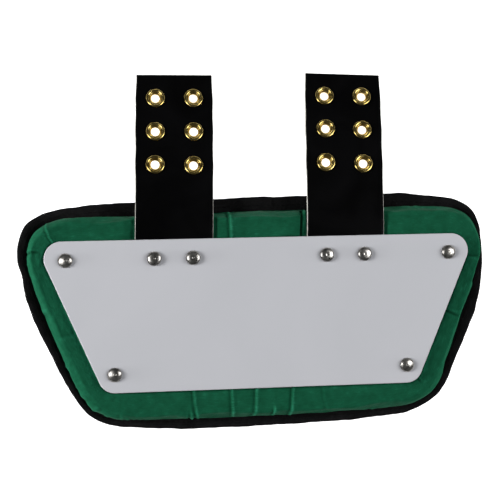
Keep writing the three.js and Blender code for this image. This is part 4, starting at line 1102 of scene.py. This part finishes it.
# The section from the middle of the underside, round the edge and back over the top, as insets from the
# edge and heights. An inset past the corners' radius draws the ring in towards the plate's middle instead.
under_turn = np.linspace(0.3, 1.57, 4)
top_turn = np.linspace(0.0, 1.5, 6)
plate_section = np.vstack([
    [(40, PLATE_UNDER), (1.2, PLATE_UNDER), (0.5, PLATE_UNDER)],
    np.column_stack([UNDER_ROUND * (1 - np.sin(under_turn)),
                     PLATE_UNDER + UNDER_ROUND * (1 - np.cos(under_turn))]),
    np.column_stack([TOP_ROUND * (1 - np.cos(top_turn)), PLATE_TOP - TOP_ROUND * (1 - np.sin(top_turn))]),
    [(0.75, PLATE_TOP), (1.5, PLATE_TOP), (8, PLATE_TOP), (20, PLATE_TOP), (38, PLATE_TOP)]])
INSET_MOST = PLATE_TOP_RADIUS * 0.9
plate_rows = []
for inset, height in plate_section:
    ring = plate_ring - plate_way * min(inset, INSET_MOST)
    ring = ring * (1 - max(0.0, inset - INSET_MOST) / 70)
    plate_rows.append(flat_ring(ring, height))
white_sheet = handled_material("white_sheet", (0.405, 0.41, 0.434), (0.419, 0.423, 0.448),
                               0, 0.34, 0.46, 500, 9, 0.00002)
white_sheet.node_tree.nodes["Principled BSDF"].inputs["Specular IOR Level"].default_value = 0.03
plate_sheet = closed_skin("plate_sheet", np.array(plate_rows), plate_round, [white_sheet])
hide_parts("plate")
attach(plate_sheet, "root")

# Rivets. Nickel plated steel with a domed head, set through plate, strap and pad,
# and clenched over a washer that sits in a dimple of the pad's back.
HEAD_RADIUS, HEAD_HEIGHT, SHANK_RADIUS, WASHER_RADIUS = 4.75, 2.4, 2.2, 6.0


def rivet_profile(flatness, mark):
    """Head, shank and washer as one turned section. The dome is radius * cos(a) ^ (2 / flatness) across and
    height * sin(a) ^ (2 / flatness) up. mark is the depth of the setting tool's dimple."""
    a = np.linspace(0.05, 1.4, 16)
    dome_out = HEAD_RADIUS * np.cos(a) ** (2 / flatness)
    dome_up = PLATE_TOP + 0.45 + (HEAD_HEIGHT - 0.2) * np.sin(a) ** (2 / flatness)
    summit = PLATE_TOP + HEAD_HEIGHT + 0.25
    return np.vstack([
        [(0, 1.2)], arc(0.9, 1.75, 0.9, 0.55, 250, 360, 5)[1:],
        [(2.0, 1.85)], arc(2.4, 1.55, 0.5, 0.35, 200, 350, 5),
        [(3.0, 1.8), (WASHER_RADIUS - 0.3, 1.8), (WASHER_RADIUS, 2.05), (WASHER_RADIUS, 2.75),
         (WASHER_RADIUS - 0.25, 3.0), (SHANK_RADIUS, 3.0), (SHANK_RADIUS, PLATE_TOP - 0.3),
         (SHANK_RADIUS + 0.1, PLATE_TOP + 0.02), (HEAD_RADIUS - 0.25, PLATE_TOP + 0.02),
         (HEAD_RADIUS - 0.04, PLATE_TOP + 0.2)],
        np.column_stack([dome_out, dome_up]),
        [(0.75, summit), (0.45, summit - 0.01 - mark), (0, summit - mark)]])


nickel = handled_material("nickel", (0.27, 0.26, 0.24), (0.42, 0.405, 0.385),
                          1, 0.25, 0.35, 1500, 320, 0.00004)
nickel_satin = handled_material("nickel_satin", (0.27, 0.26, 0.24), (0.40, 0.385, 0.365),
                                1, 0.28, 0.37, 1500, 320, 0.00003)
for name, (x, y) in RIVETS.items():
    flatness = 2.5 if "strap" in name else 1.9
    mark = 0.2 if "strap" in name or name == "rivet_bottom_left" else 0.05
    upright = (np.array([x, y, 0]), *np.eye(3))
    finish = nickel if "strap" in name else nickel_satin
    rivet = turned_piece(name + "_steel", rivet_profile(flatness, mark), 48, upright, [finish])
    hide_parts(name)
    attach(rivet, "root")

low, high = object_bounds()
